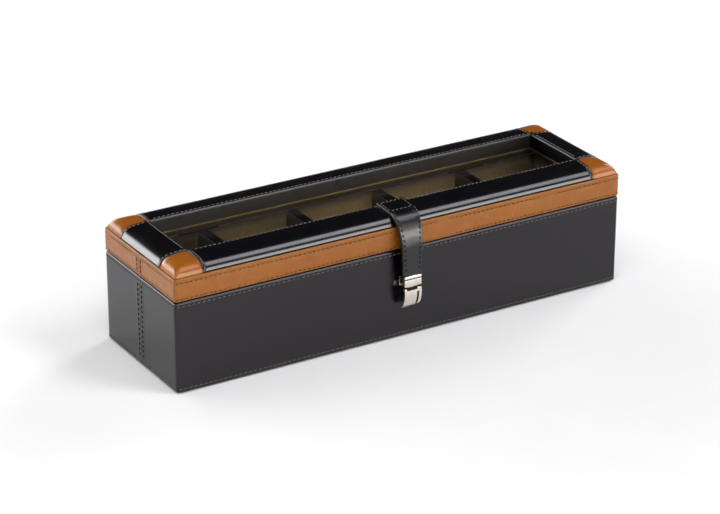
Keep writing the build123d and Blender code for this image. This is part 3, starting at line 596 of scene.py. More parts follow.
def base_profile():
    out, inn = [], []

    def add(o, z, oi, zi):
        g = 0.13 * (math.exp(-((z - ST_LOW) / 0.42) ** 2) + math.exp(-((z - ST_HIGH) / 0.42) ** 2)) if o > -0.5 else 0.0
        out.append((o - g, z))
        inn.append((oi, zi))

    for o in (-15.0, -11.0, -7.0, -4.0, -2.2, -1.2):
        add(o, 0.8, min(o, -1.0), 1.6)
    for o, z in arc_pts(-0.6, 1.4, 0.6, -90, 0, 6):
        add(o, z, -1.0, 1.6 + (z - 0.8) * 0.2)
    for z in (1.8, 2.2, 2.5, 2.7, 2.9, 3.1, 3.3, 3.5, 3.7, 4.0, 4.6, 6.0, 9.0, 13.0, 18.0, 23.0, 28.0, 33.0, 38.0, 43.0, 48.0,
              53.0, 57.0, 58.6, 59.4, 59.8, 60.0, 60.2, 60.4, 60.6, 60.8, 61.0):
        add(0.0, z, -1.0, min(max(z, 1.75), 62.0))
    arc = arc_pts(-1.35, 61.55, 1.35, 0, 90, 13)
    for k, (o, z) in enumerate(arc):
        add(o, z, -1.4 - 0.01 * k, 61.5 + 0.05 * k)
    for o, z in ((-2.1, 62.9), (-2.8, 62.92), (-3.4, 63.08), (-4.2, 63.2), (-4.7, 63.2)):
        add(o, z, o, 62.21)
    for k, (o, z) in enumerate(arc_pts(-5.35, 62.75, 0.45, 90, 180, 5)):
        add(o, z, -4.95 - 0.07 * k, 62.21)
    add(-5.8, 62.35, -5.45, 62.21)
    return out, inn


# burnish and painted shade along the stitch grooves
def base_burn_and_shade(o, z):
    return (0.4 * math.exp(-((z - ST_LOW) / 0.45) ** 2) + 0.4 * math.exp(-((z - ST_HIGH) / 0.45) ** 2)) if o > -0.4 else 0.0


bo, bi = base_profile()
wrap_front = wrap_half("leather_base_front", bo, bi, HX, HY, 2.0, 1, (BASE, FLESH, BASE), base_burn_and_shade, None, 0.05, 1.3)
wrap_back = wrap_half("leather_base_back", bo, bi, HX, HY, 2.0, -1, (BASE, FLESH, BASE), base_burn_and_shade,
                      lambda z: min(z, 62.26) if z > 62.0 else z, 0.05, 5.1)
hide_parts("base_wrap_front")
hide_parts("base_wrap_back")
for o in (wrap_front, wrap_back):
    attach(o, "base")

BT_LOW, BT_HIGH = 65.2, 76.2    # stitch lines on the band


def band_profile():
    out, inn = [], []

    def add(o, z, oi, zi):
        g = 0.0
        if o > -0.5:
            g = 0.06 * (math.exp(-((z - BT_LOW) / 0.5) ** 2) + math.exp(-((z - BT_HIGH) / 0.5) ** 2))
            g -= 0.16 * math.exp(-((z - 70.7) / 4.4) ** 4)
            g -= 0.05 * math.exp(-((z - 77.8) / 0.9) ** 2)
        out.append((o - g, z))
        inn.append((oi, zi))

    for k, (o, z) in enumerate(arc_pts(-6.9, 63.6, 0.4, 180, 270, 4)):
        add(o, z, -7.0 + 0.05 * k, 64.15)
    for o, z in ((-5.8, 63.2), (-4.7, 63.2), (-4.2, 63.22), (-3.4, 63.38), (-2.6, 63.53), (-1.6, 63.55)):
        add(o, z, o, 64.17)
    for k, (o, z) in enumerate(arc_pts(-0.8, 64.35, 0.8, -90, 0, 8)):
        add(o, z, -1.25 + 0.03 * k, 64.19 + 0.01 * k)
    for z in (64.5, 64.75, 64.95, 65.2, 65.4, 65.6, 65.9, 66.3, 67.0, 68.2, 69.5, 70.8, 72.1, 73.4, 74.5, 75.2, 75.6, 75.85, 76.05,
              76.2, 76.4, 76.65, 77.0, 77.5, 78.1, 78.5):
        add(0.0, z, -1.0, min(max(z, 64.3), 78.6))
    arc = arc_pts(-0.45, 78.85, 0.45, 0, 90, 6)
    for k, (o, z) in enumerate(arc):
        add(o, z, -1.0, 78.65 + 0.04 * k)
    add(-0.8, 79.3, -1.0, 78.95)
    add(-0.97, 79.22, -1.0, 79.02)
    return out, inn


# burnish and painted shade at the stitch grooves, painted shade along the band's rolled lower edge and under its top
# rim, and a little darker on the turned-in part
def band_burn_and_shade(o, z):
    if o < -0.6:
        return 0.15
    return min(1.0, 0.13 * math.exp(-((z - BT_LOW) / 0.5) ** 2) + 0.13 * math.exp(-((z - BT_HIGH) / 0.5) ** 2)
               + 0.25 * math.exp(-((z - 63.7) / 0.3) ** 2) + 0.12 * math.exp(-((z - 79.25) / 0.25) ** 2))


to, ti = band_profile()
band_front = wrap_half("leather_band_front", to, ti, HX, HY, 2.0, 1, (TAN, FLESH, EDGE), band_burn_and_shade, None, 0.07, 2.7, 0.035)
band_back = wrap_half("leather_band_back", to, ti, HX, HY, 2.0, -1, (TAN, FLESH, EDGE), band_burn_and_shade,
                      lambda z: max(z, 64.13) if z < 64.3 else z, 0.07, 8.2, 0.035)
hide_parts("lid_band_front")
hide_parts("lid_band_back")
for o in (band_front, band_back):
    # painted highlight: the turned edge inside the lid is painted light grey as a highlight line
    o.data.materials.append(RIM_PAINTED_HIGHLIGHT)
    for f in o.data.polygons:
        if f.material_index != 1 and HX * MM - abs(f.center[0]) > 6.7 * MM and HY * MM - abs(f.center[1]) > 6.7 * MM:
            f.material_index = 3
    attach(o, "lid")

# ------------------------------------------------------------------ lid top: bars and corners
R1, R1Z, SWEEP, R2 = 7.5, 78.9, 80.0, 70.0
A1 = math.radians(180.0 - SWEEP)
C2D = R1 + (R1 - R2) * math.cos(A1)
C2Z = R1Z + (R1 - R2) * math.sin(A1)
D_ARC = R1 + R1 * math.cos(A1)


def roll(w, r=2.2):
    """Drop of the leather where it rolls into the window; w is the distance from the opening."""
    if w >= r:
        return 0.0
    return r - math.sqrt(max(0.0, r * r - (r - w) ** 2))


def dome(d):
    """(d, z, nd, nz) on the lid's outer skin at inward distance d, past the tight rounding."""
    if d >= C2D:
        return d, TOP, 0.0, 1.0
    z = C2Z + math.sqrt(R2 ** 2 - (d - C2D) ** 2)
    return d, z, (d - C2D) / R2, (z - C2Z) / R2


def dome_profile(d_list, skirt=17.0, rr=0.62, ze=80.15):
    """The lid's outer skin from its lower edge inwards; the skirt leans in by so many degrees and its edge is rolled by rr."""
    k = math.radians(skirt)
    dt, zt = R1 - R1 * math.cos(k), R1Z + R1 * math.sin(k)
    pts = []
    de = dt - (zt - ze) * math.tan(k)
    cd, cz = de + rr * math.cos(k), ze - rr * math.sin(k)
    for a in (-78.0, -60.0, -42.0, -26.0, -12.0, 2.0):
        c, s = math.cos(math.radians(a)), math.sin(math.radians(a))
        pts.append((cd - rr * c, cz + rr * s, -c, s))
    for z in (ze, 80.4, 80.8):
        pts.append((dt - (zt - z) * math.tan(k), z, -math.cos(k), math.sin(k)))
    for a in np.linspace(180 - skirt, 180 - SWEEP, 18):
        c, s = math.cos(math.radians(a)), math.sin(math.radians(a))
        pts.append((R1 + R1 * c, R1Z + R1 * s, c, s))
    for d in d_list:
        pts.append(dome(d))
    return pts


def end_round(e):
    """How far the leather drops at a cut end, e from the end."""
    drop = 0.0
    if e < 0.45:
        drop += 0.38 * (1 - math.sqrt(max(0.0, 1 - ((0.45 - e) / 0.45) ** 2)))
    drop += 0.24 * math.exp(-((e - 1.5) / 0.38) ** 2)
    drop -= 0.20 * math.exp(-((e - 0.7) / 0.45) ** 2)
    return drop


END_STOPS = [0.0, 0.05, 0.14, 0.28, 0.45, 0.75, 1.0, 1.2, 1.35, 1.5, 1.65, 1.8, 2.0, 2.4, 3.2, 4.5, 6.5]


def bar(name, node, axis, sign, half, win, edge, seed, skirt=17.0):
    """A leather bar. axis is the one it runs along; edge is the lid's half size across it; win is the window's half size there."""
    full = edge - win                      # inward distance of the window opening
    st = full - 2.0                        # stitch line
    d_end = full - 1.0
    ds = [7.2, 8.4, 9.8, 11.4, 13.2, 15.0, 16.4, st - 1.6, st - 1.1, st - 0.75, st - 0.5, st - 0.3, st - 0.15, st, st + 0.15, st + 0.3,
          st + 0.5, st + 0.7, st + 0.85, d_end]
    prof = dome_profile(sorted(set(ds)), skirt)
    mids = steps(-(half - 6.5), half - 6.5, 5.0)
    us = [-half + e for e in END_STOPS[:-1]] + mids + [half - e for e in END_STOPS[:-1][::-1]]
    P, Q, burn_and_shade = [], [], []
    for u in us:
        e = half - abs(u)
        rp, rq, rb = [], [], []
        for k, (d, z, nd, nz) in enumerate(prof):
            depth = end_round(e)
            depth += 0.2 * math.exp(-((d - st) / 0.36) ** 2)
            zz = z - roll(full - d)
            # slight quilting between the window stitches and the crown
            depth -= 0.10 * math.exp(-((d - (st - 2.2)) / 1.6) ** 2)
            depth += 0.05 * noise.noise(Vector((u / 26.0 + seed, d / 14.0, seed)))
            across = edge - (d - nd * depth)
            rp.append((u, sign * across, zz - nz * depth))
            di = min(max(d - nd * 1.58, 1.58), d_end)
            rq.append((u, sign * (edge - di), min(z - nz * 1.58, zz - 0.9)))
            # burnish and painted shade in the stitch grooves, and painted shade at the cut end where it steps onto the
            # corner
            b = 0.9 * math.exp(-((d - st) / 0.45) ** 2) + 0.9 * math.exp(-((e - 1.5) / 0.45) ** 2) + 0.6 * math.exp(-(e / 0.35) ** 2)
            rb.append(min(1.0, b))
        P.append(rp)
        Q.append(rq)
        burn_and_shade.append(rb)
    P, Q = np.array(P), np.array(Q)
    if axis == "y":
        P = P[..., [1, 0, 2]]
        Q = Q[..., [1, 0, 2]]
    ob = shell(name, P, Q, (BLACK, FLESH, EDGE), np.array(burn_and_shade))
    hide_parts(node)
    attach(ob, "lid")
    return st


bar("leather_bar_front", "lid_bar_front", "x", -1, 149.0, WIN_Y, LY, 0.7)
bar("leather_bar_back", "lid_bar_back", "x", 1, 149.0, WIN_Y, LY, 3.9)
bar("leather_bar_left", "lid_bar_left", "y", -1, 27.0, WIN_X, LX, 6.1, 27.0)
bar("leather_bar_right", "lid_bar_right", "y", 1, 27.0, WIN_X, LX, 9.4, 27.0)


def corner(name, node, sx, sy, seed):
    """Leather corner piece: the dome swept round the corner, tucked under both bars."""
    cx, cy = 146.0, 24.0
    prof = dome_profile([7.4, 8.8, 10.4, 12.2, 14.0, 15.8, 17.2, 18.35], rr=0.25, ze=79.44)
    prof = [(d, d, z, nd, nz) for d, z, nd, nz in prof] + [(19.0, 19.4, TOP, 0.0, 1.0), (19.5, 20.25, TOP, 0.0, 1.0)]

    def rad(d, low):
        return max(0.4, min(1.5 + 0.65 * d, 22.3 - d, 8.5))

    r0 = rad(0.0, 0.0)
    track = [("L", y) for y in steps(-cy, -(LY - r0), 1.6)]
    track += [("FL", a) for a in np.linspace(180, 270, 16)[1:-1]]
    track += [("F", x) for x in steps(-(LX - r0), -cx, 1.6)]
    P, Q, burn_and_shade = [], [], []
    for st in track:
        rp, rq, rb = [], [], []
        for dx, dy, z, nd, nz in prof:
            (xe, ye), _ = on_track(st, LX, LY, r0, -dx, rad(min(dx, 18.35), 0.0), cx, cy, -dy)
            e = min(abs(xe) - 149.0, abs(ye) - 27.0)
            tuck = 1.0 - min(1.0, max(0.0, (e - 0.1) / 1.6)) ** 0.8
            for low, row in ((0.12 + 0.48 * tuck, rp), (1.56, rq)):
                ox, oy = -(dx - nd * low), -(dy - nd * low)
                (x, y), _ = on_track(st, LX, LY, r0, ox, rad(min(dx, 18.35), 0.0), cx, cy, oy)
                puff = 0.0
                if low < 1.0:
                    puff = 0.3 * min(1.0, max(0.0, (e - 0.2) / 4.0)) * max(0.0, nz)
                row.append((x * -sx, y * -sy, z - nz * low + puff))
            # painted shade: the leather is painted darker in the crease at the bars and in a thin line above the band
            b = 0.75 * math.exp(-max(0.0, e) / 0.7) + 0.06 * math.exp(-((z - 79.3) / 0.4) ** 2)
            rb.append(min(1.0, b))
        P.append(rp)
        Q.append(rq)
        burn_and_shade.append(rb)
    P = np.array(P)
    w = wave(P, 8.0, seed) * 0.05
    P[..., 2] += w
    ob = shell(name, P, np.array(Q), (TAN_TOP, FLESH, TAN_TOP), np.array(burn_and_shade))
    # its inner tip lies under the bars, in black leather
    ob.data.materials.append(BLACK)
    for f in ob.data.polygons:
        if abs(f.center[0]) < 151.2 * MM and abs(f.center[1]) < 29.2 * MM:
            f.material_index = 3
    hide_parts(node)
    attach(ob, "lid")


corner("leather_corner_front_left", "lid_corner_front_left", -1, -1, 1.1)
corner("leather_corner_front_right", "lid_corner_front_right", 1, -1, 2.3)
corner("leather_corner_back_left", "lid_corner_back_left", -1, 1, 3.5)
corner("leather_corner_back_right", "lid_corner_back_right", 1, 1, 4.6)


def liner():
    """Leather on the window's inner wall, rolled over its top edge."""
    pts = []
    for w in (1.0, 0.9, 0.8, 0.7, 0.6, 0.52, 0.44, 0.36, 0.26, 0.18, 0.10, 0.04, 0.0):
        pts.append((w, TOP - roll(w), 1.0, TOP - roll(1.0) - 0.35 - (1.0 - w) * 0.6))
    for z in (84.7, 84.0, 83.0, 82.0, 81.0, 80.0, 79.0, 78.2, 77.6, 77.1, 76.82):
        pts.append((0.0, z, 1.0, z))
    track = rounded_track(steps(-(WIN_X - 0.4), WIN_X - 0.4, 3.0), steps(0.0, -(WIN_Y - 0.4), 2.6), 3)
    back = [(k, v) for k, v in track]
    P, Q = [], []
    for half, sy in ((track, 1), (back[::-1], -1)):
        for k, st in enumerate(half):
            if k == 0 and sy == -1 or k == len(half) - 1 and sy == -1:
                continue
            rp, rq = [], []
            for w, z, wi, zi in pts:
                (x, y), _ = on_track(st, WIN_X, WIN_Y, 0.4, w, 0.4 + w)
                (xi, yi), _ = on_track(st, WIN_X, WIN_Y, 0.4, wi, 0.4 + wi)
                rp.append((x, y * sy, z))
                rq.append((xi, yi * sy, zi))
            P.append(rp)
            Q.append(rq)
    P, Q = np.array(P), np.array(Q)
    # painted shade: the leather is painted darker towards the right end, where it lies in shade
    right_end_shade = np.clip((P[..., 0] - 96.0) / 46.0, 0.0, 1.0)
    ob = shell("leather_window_liner", P, Q, (INNER, FLESH, INNER), right_end_shade * right_end_shade * (3 - 2 * right_end_shade), close_u=True)
    ob.data.materials.append(ROLL_PAINTED_HIGHLIGHT)
    ob.data.materials.append(INNER_PAINTED_SHADE)
    for f in ob.data.polygons:
        # painted highlight: the rolled top edge takes the lighter, glossier roll leather
        if f.material_index == 0 and f.center[2] > 86.2 * MM:
            f.material_index = 3
        # painted shade: the right wall takes the darker copy of the inner leather
        elif f.material_index == 0 and f.center[0] > (WIN_X - 0.6) * MM:
            f.material_index = 4
    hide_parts("window_liner")
    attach(ob, "lid")


liner()


def bead():
    """Thin gilt line laid in the corner between the glass and the leather."""
    track = rounded_track(steps(-(WIN_X - 0.3), WIN_X - 0.3, 6.0), steps(0.0, -(WIN_Y - 0.3), 6.0), 2)
    sect = [(-0.02, 76.8)] + [(-0.26 + 0.24 * math.cos(math.radians(a)), 76.95 + 0.26 * math.sin(math.radians(a))) for a in (0, 30, 60, 90, 120, 150, 180)]
    sect += [(-0.50, 76.8)]
    P, Q = [], []
    for half, sy in ((track, 1), (track[::-1][1:-1], -1)):
        for st in half:
            rp = []
            for o, z in sect:
                (x, y), _ = on_track(st, WIN_X, WIN_Y, 0.3, o, 0.12)
                rp.append((x, y * sy, z))
            P.append(rp)
    P = np.array(P)
    nu, nv = P.shape[:2]
    idx = np.arange(nu * nv).reshape(nu, nv)
    faces = [[int(idx[i, j]), int(idx[(i + 1) % nu, j]), int(idx[(i + 1) % nu, (j + 1) % nv]), int(idx[i, (j + 1) % nv])]
             for i in range(nu) for j in range(nv)]
    ob = finish_mesh("gilt_bead_ring", P.reshape(-1, 3), faces, None, [GILT], None, 50.0)
    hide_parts("glass_bead")
    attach(ob, "lid")


bead()


# ------------------------------------------------------------------ stitch lines
def place(ob, body):
    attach(ob, body)
    return ob


place(stitch_mesh("stitch_base_top", [rect_line(HX, HY, 2.0, ST_HIGH, -0.13, 1), rect_line(HX, HY, 2.0, ST_HIGH, -0.13, -1)], THREAD_BASE,
                  length=2.5, radius=0.3, slant=8.0, hole=HOLE_BLACK, hole_r=0.45),
      "base")
place(stitch_mesh("stitch_base_bottom", [rect_line(HX, HY, 2.0, ST_LOW, -0.13, 1), rect_line(HX, HY, 2.0, ST_LOW, -0.13, -1)], THREAD_BASE,
                  length=2.5, radius=0.3, slant=8.0, hole=HOLE_BLACK, hole_r=0.45),
      "base")
place(stitch_mesh("stitch_band_top", [rect_line(HX, HY, 2.0, BT_HIGH, -0.14, 1), rect_line(HX, HY, 2.0, BT_HIGH, -0.14, -1)], THREAD_TAN,
                  pitch=3.4, length=2.4, radius=0.36, slant=10.0, hole=HOLE_TAN, hole_r=0.52),
      "lid")
place(stitch_mesh("stitch_band_bottom", [rect_line(HX, HY, 2.0, BT_LOW, -0.14, 1), rect_line(HX, HY, 2.0, BT_LOW, -0.14, -1)], THREAD_TAN,
                  pitch=3.4, length=2.4, radius=0.36, slant=10.0, hole=HOLE_TAN, hole_r=0.52),
      "lid")


def upright_lines(z0, z1):
    lines = []
    for sx in (-1, 1):
        for y in (-2.5, 2.5):
            zs = steps(z0, z1, 1.5)
            off = seam_lift(y)
            lines.append(([(sx * (HX + off), y, z) for z in zs], [(sx, 0, 0)] * len(zs)))
    return lines


place(stitch_mesh("stitch_base_seams", upright_lines(4.4, 60.0), THREAD_BLACK, pitch=3.5, length=2.6, radius=0.42, rise=0.12, sink=0.5), "base")
place(stitch_mesh("stitch_band_seams", upright_lines(65.6, 76.0), THREAD_SEAM, pitch=3.1, length=2.5, radius=0.56, rise=0.14, sink=0.4, hole=HOLE_TAN, hole_r=0.5), "lid")


def bar_lines():
    lines = []
    for sy in (-1, 1):
        st = LY - WIN_Y - 2.0
        xs = steps(-146.4, 146.4, 3.0)
        lines.append(([(x, sy * (LY - st), TOP - 0.2) for x in xs], [(0, -sy * 0.05, 1)] * len(xs)))
        prof = [p for p in dome_profile([7.2, 8.4, 9.8, 11.4, 13.2, 15.0, 16.4, 17.6, 18.6]) if p[1] > 79.9]
        for sx in (-1, 1):
            pts = [(sx * 147.5, sy * (LY - (d - nd * 0.2)), z - nz * 0.2) for d, z, nd, nz in prof]
            nrm = [(0, -sy * nd, nz) for d, z, nd, nz in prof]
            lines.append((pts, nrm))
    for sx in (-1, 1):
        st = LX - WIN_X - 2.0
        ys = steps(-24.6, 24.6, 2.0)
        lines.append(([(sx * (LX - st), y, TOP - 0.2) for y in ys], [(-sx * 0.05, 0, 1)] * len(ys)))
        prof = [p for p in dome_profile([7.2, 8.4, 9.8, 11.4, 13.2, 15.0, 16.4, 17.6]) if p[1] > 79.9]
        for sy in (-1, 1):
            pts = [(sx * (LX - (d - nd * 0.2)), sy * 25.5, z - nz * 0.2) for d, z, nd, nz in prof]
            nrm = [(-sx * nd, 0, nz) for d, z, nd, nz in prof]
            lines.append((pts, nrm))
    return lines


place(stitch_mesh("stitch_bars", bar_lines(), THREAD_BAR, pitch=3.3, length=2.6, radius=0.26, slant=13.0, hole=HOLE_BLACK, hole_r=0.34), "lid")


# ------------------------------------------------------------------ strap
def spline(points, d0, d1, n):
    """Clamped cubic spline through points, by chord length."""
    p = np.array(points, float)
    t = np.concatenate([[0], np.cumsum(np.linalg.norm(np.diff(p, axis=0), axis=1))])
    k = len(t)
    A = np.zeros((k, k))
    rhs = np.zeros((k, p.shape[1]))
    A[0, 0] = A[-1, -1] = 1
    rhs[0] = np.array(d0) / np.linalg.norm(d0)
    rhs[-1] = np.array(d1) / np.linalg.norm(d1)
    for i in range(1, k - 1):
        h0, h1 = t[i] - t[i - 1], t[i + 1] - t[i]
        A[i, i - 1], A[i, i], A[i, i + 1] = h1, 2 * (h0 + h1), h0
        rhs[i] = 3 * (h1 * (p[i] - p[i - 1]) / h0 + h0 * (p[i + 1] - p[i]) / h1)
    m = np.linalg.solve(A, rhs)
    out = []
    for q in np.linspace(0, t[-1], n):
        i = min(k - 2, max(0, int(np.searchsorted(t, q) - 1)))
        h = t[i + 1] - t[i]
        s = (q - t[i]) / h
        out.append((2 * s ** 3 - 3 * s ** 2 + 1) * p[i] + (s ** 3 - 2 * s ** 2 + s) * h * m[i]
                   + (-2 * s ** 3 + 3 * s ** 2) * p[i + 1] + (s ** 3 - s ** 2) * h * m[i + 1])
    return np.array(out)


def bar_top(y):
    d = y + LY
    if d >= C2D:
        return TOP
    if d >= D_ARC:
        return dome(d)[1]
    return R1Z + math.sqrt(R1 ** 2 - (d - R1) ** 2)


FOLD_Y, FOLD_Z = -43.5, 88.2
top_side = [(FOLD_Y, FOLD_Z), (-47.0, 87.45), (-49.3, 85.85), (-51.1, 83.5), (-52.9, 80.15), (-54.5, 76.35), (-55.87, 71.2), (-56.75, 64.5)]
T0, T1 = (-1.0, -0.10), (0.0, -1.0)


def strap_lines():
    """Outer and inner face lines of the free strap in (y, z), with matching stations."""
    outer = spline(top_side, T0, T1, 46)
    low = []
    n = len(top_side)
    for i, (y, z) in enumerate(top_side):
        if i == 0:
            t = T0
        elif i == n - 1:
            t = T1
        else:
            t = (top_side[i + 1][0] - top_side[i - 1][0], top_side[i + 1][1] - top_side[i - 1][1])
        l = math.hypot(*t)
        low.append((y - 2.8 * t[1] / l, z + 2.8 * t[0] / l))
    low[0] = (FOLD_Y, bar_top(FOLD_Y) + 0.15)
    inner = spline(low, T0, T1, 46)
    zs = np.array(steps(64.5, 47.6, 1.1)[1:] + [47.0, 46.6, 46.3, 46.05, 45.9, 45.0, 43.0, 41.5, 40.6, 40.3])
    outer = np.concatenate([outer, np.stack([np.full(len(zs), -56.75), zs], -1)])
    inner = np.concatenate([inner, np.stack([np.full(len(zs), -53.95), zs], -1)])
    return outer, inner


def strap_width(z):
    if z >= 86:
        return 9.5
    if z >= 46.5:
        q = (z - 46.5) / (86 - 46.5)
        return 7.1 + (9.5 - 7.1) * q - 0.45 * math.sin(math.pi * q)
    if z >= 45.95:
        return 7.1 - (46.5 - z) / 0.55 * 0.95
    return 6.1


def tube(name, rings, mats, burn_and_shade=None, angle=38.0, ids=None):
    """Closed piece from rings of points, capped at both ends."""
    P = np.asarray(rings, float)
    nu, nv = P.shape[:2]
    idx = np.arange(nu * nv).reshape(nu, nv)
    faces, mids = [], []
    for i in range(nu - 1):
        for j in range(nv):
            faces.append([int(idx[i, j]), int(idx[i, (j + 1) % nv]), int(idx[i + 1, (j + 1) % nv]), int(idx[i + 1, j])])
            mids.append(0 if ids is None else ids[j])
    faces.append([int(v) for v in idx[0]][::-1])
    faces.append([int(v) for v in idx[-1]])
    mids += [len(mats) - 1] * 2
    return finish_mesh(name, P.reshape(-1, 3), faces, mids, mats, None if burn_and_shade is None else np.ravel(burn_and_shade), angle)


def strap_section(w, t, st):
    """Section of the strap: (across, height) from the inner face up, and which slot each side takes."""
    pts, ids = [], []

    def add(a, h, k):
        pts.append((a, h))
        ids.append(k)

    r = 0.75
    arc = np.linspace(-90, 90, 9)
    # right edge, then the outer face from right to left, the left edge, and the inner face
    for a in arc:
        rr = math.radians(a)
        add(w - r + r * math.cos(rr), t / 2 + (t / 2) * math.sin(rr) if abs(a) < 89 else (0.0 if a < 0 else t), 1)
    ids[-1] = 0
    xs = [w - 1.0, w - 1.35, w - st + 0.3, w - st + 0.15, w - st, w - st - 0.15, w - st - 0.3, w - st - 0.7]
    for x in xs:
        add(x, t, 0)
    inner_half = w - st - 0.7
    for x in np.linspace(inner_half, -inner_half, 9)[1:-1]:
        add(x, t, 0)
    for x in xs[::-1]:
        add(-x, t, 0)
    for a in arc[::-1]:
        rr = math.radians(a)
        add(-(w - r + r * math.cos(rr)), t / 2 + (t / 2) * math.sin(rr) if abs(a) < 89 else (0.0 if a < 0 else t), 1)
    ids[-1] = 2
    for x in np.linspace(-(w - r), w - r, 7)[1:-1]:
        add(x, 0.0, 2)
    return pts, ids


def strap():
    outer, inner = strap_lines()
    st = 2.1
    rings, burns = [], []
    line_l, line_r = [], []
    for k, (o, i) in enumerate(zip(outer, inner)):
        t = float(np.linalg.norm(o - i))
        nrm = (o - i) / t
        w = strap_width(o[1])
        pts, ids = strap_section(w, t, st)
        ring, br = [], []
        for a, h in pts:
            g = 0.0
            if h >= t - 1e-6:
                inside = abs(abs(a) - (w - st))
                g = 0.05 * math.exp(-(inside / 0.4) ** 2)
                g -= 0.05 * max(0.0, 1 - (a / (w - st)) ** 2) if abs(a) < w - st else 0.0
                g -= 0.10 * math.exp(-((abs(a) - (w - 0.9)) / 0.45) ** 2)
                g += 0.05 * noise.noise(Vector((a / 6.0, o[1] / 9.0, 2.2)))
                # burnish and painted shade in the stitch groove
                br.append(min(1.0, 0.12 * math.exp(-(inside / 0.4) ** 2)))
            else:
                br.append(0.0)
            q = i + nrm * (h - g)
            ring.append((a, q[0], q[1]))
        rings.append(ring)
        burns.append(br)
        if 47.6 < o[1] < 86.6:
            q = o - nrm * 0.08
            line_l.append(((-(w - st), q[0], q[1]), (0, nrm[0], nrm[1])))
            line_r.append(((w - st, q[0], q[1]), (0, nrm[0], nrm[1])))
    ob = tube("strap_leather", rings, (STRAP, EDGE, FLESH), burns, 42.0, ids)
    lines = [([p for p, _ in ln], [n for _, n in ln]) for ln in (line_l, line_r)]
    sw = stitch_mesh("stitch_strap", lines, THREAD_STRAP_D, pitch=3.4, length=2.3, radius=0.44, slant=14.0)
    return ob, sw


strap_ob, strap_st = strap()
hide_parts("strap")
for o in (strap_ob, strap_st):
    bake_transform(o)


def patch():
    """Strap patch stitched on the front bar: a thick leather rectangle that follows the crown."""
    W = 10.2
    y0, y1 = -27.4, -43.5
    up_y = [-27.4, -31.0, -35.0, -39.0, -41.5, -43.5]
    up = [1.9, 2.0, 2.0, 2.05, 2.2, FOLD_Z - bar_top(-43.5)]
    es = [0.0, 0.06, 0.16, 0.32, 0.5, 0.9, 1.25, 1.45, 1.6, 1.75, 1.95, 2.3, 3.0]
    L = y0 - y1
    ss = es + steps(4.0, L - 4.0, 1.4) + [L - e for e in es[::-1]]
    rings, burns = [], []
    xs_half = [W - 0.6, W - 0.9, W - 1.3, W - 1.5, W - 1.65, W - 1.8, W - 1.95, W - 2.15, W - 2.6]
    for s in ss:
        y = y0 - s
        h = float(np.interp(-y, [-v for v in up_y], up))
        zb = bar_top(y) if y < -28.8 else TOP - roll(-y - WIN_Y) * 0.0
        e = min(s, L - s)
        back = s < L / 2
        drop = 0.0
        lim = 0.5 if back else 0.28
        if e < 0.5:
            drop = lim * (1 - math.sqrt(max(0.0, 1 - ((0.5 - e) / 0.5) ** 2)))
        ring, br = [], []
        secs = [(W, 0.02)] + [(W, h * 0.35), (W, h * 0.6)]
        secs += [(W - 0.5 + 0.5 * math.cos(math.radians(a)), h - 0.5 + 0.5 * math.sin(math.radians(a))) for a in (0, 22, 45, 68, 90)]
        secs += [(x, h) for x in xs_half]
        secs += [(x, h) for x in np.linspace(W - 2.6, -(W - 2.6), 9)[1:-1]]
        secs += [(-x, hh) for x, hh in [(x, h) for x in xs_half][::-1]]
        secs += [(-x, hh) for x, hh in [(W - 0.5 + 0.5 * math.cos(math.radians(a)), h - 0.5 + 0.5 * math.sin(math.radians(a))) for a in (90, 68, 45, 22, 0)]]
        secs += [(-W, h * 0.6), (-W, h * 0.35), (-W, 0.02)]
        secs += [(x, 0.02) for x in np.linspace(-W, W, 7)[1:-1]]
        for x, hh in secs:
            g = 0.0
            b = 0.0
            if hh > 0.05:
                g = drop * min(1.0, hh / h)
            if hh >= h - 1e-6:
                a1 = math.exp(-((abs(x) - (W - 1.75)) / 0.36) ** 2) if e > 1.4 else 0.0
                a2 = math.exp(-((e - 1.75) / 0.36) ** 2) if abs(x) < W - 1.4 else 0.0
                g += 0.2 * max(a1, a2)
                if abs(x) < W - 1.75 and e > 1.75:
                    g -= 0.12 * (1 - (x / (W - 1.75)) ** 2) * min(1.0, (e - 1.75) / 1.5)
                # burnish and painted shade in the stitch groove
                b = 0.9 * max(a1, a2)
            ring.append((x, y, zb + hh - g))
            br.append(b)
        rings.append(ring)
        burns.append(br)
    ob = tube("strap_patch_leather", rings, (STRAP, EDGE), burns, 42.0)
    st = 1.75

    def top(x, y):
        h = float(np.interp(-y, [-v for v in up_y], up))
        return (x, y, (bar_top(y) if y < -28.8 else TOP) + h - 0.2)

    def nrm(y):
        a, b = top(0, y + 0.1)[2], top(0, y - 0.1)[2]
        v = Vector((0, -(a - b) / 0.2, 1)).normalized()
        return tuple(v)

    ya, yb = y0 - st, y1 + st
    ysl = steps(ya, yb, 1.0)
    xsl = steps(-(W - st), W - st, 1.0)
    lines = [([top(sx * (W - st), y) for y in ysl], [nrm(y) for y in ysl]) for sx in (-1, 1)]
    lines += [([top(x, y) for x in xsl], [nrm(y)] * len(xsl)) for y in (ya, yb)]
    sw = stitch_mesh("stitch_patch", lines, THREAD_STRAP, pitch=3.1, length=2.3, radius=0.28, slant=10.0, hole=HOLE_BLACK, hole_r=0.45)
    return ob, sw


patch_ob, patch_st = patch()
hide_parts("strap_patch")
for o in (patch_ob, patch_st):
    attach(o, "lid")


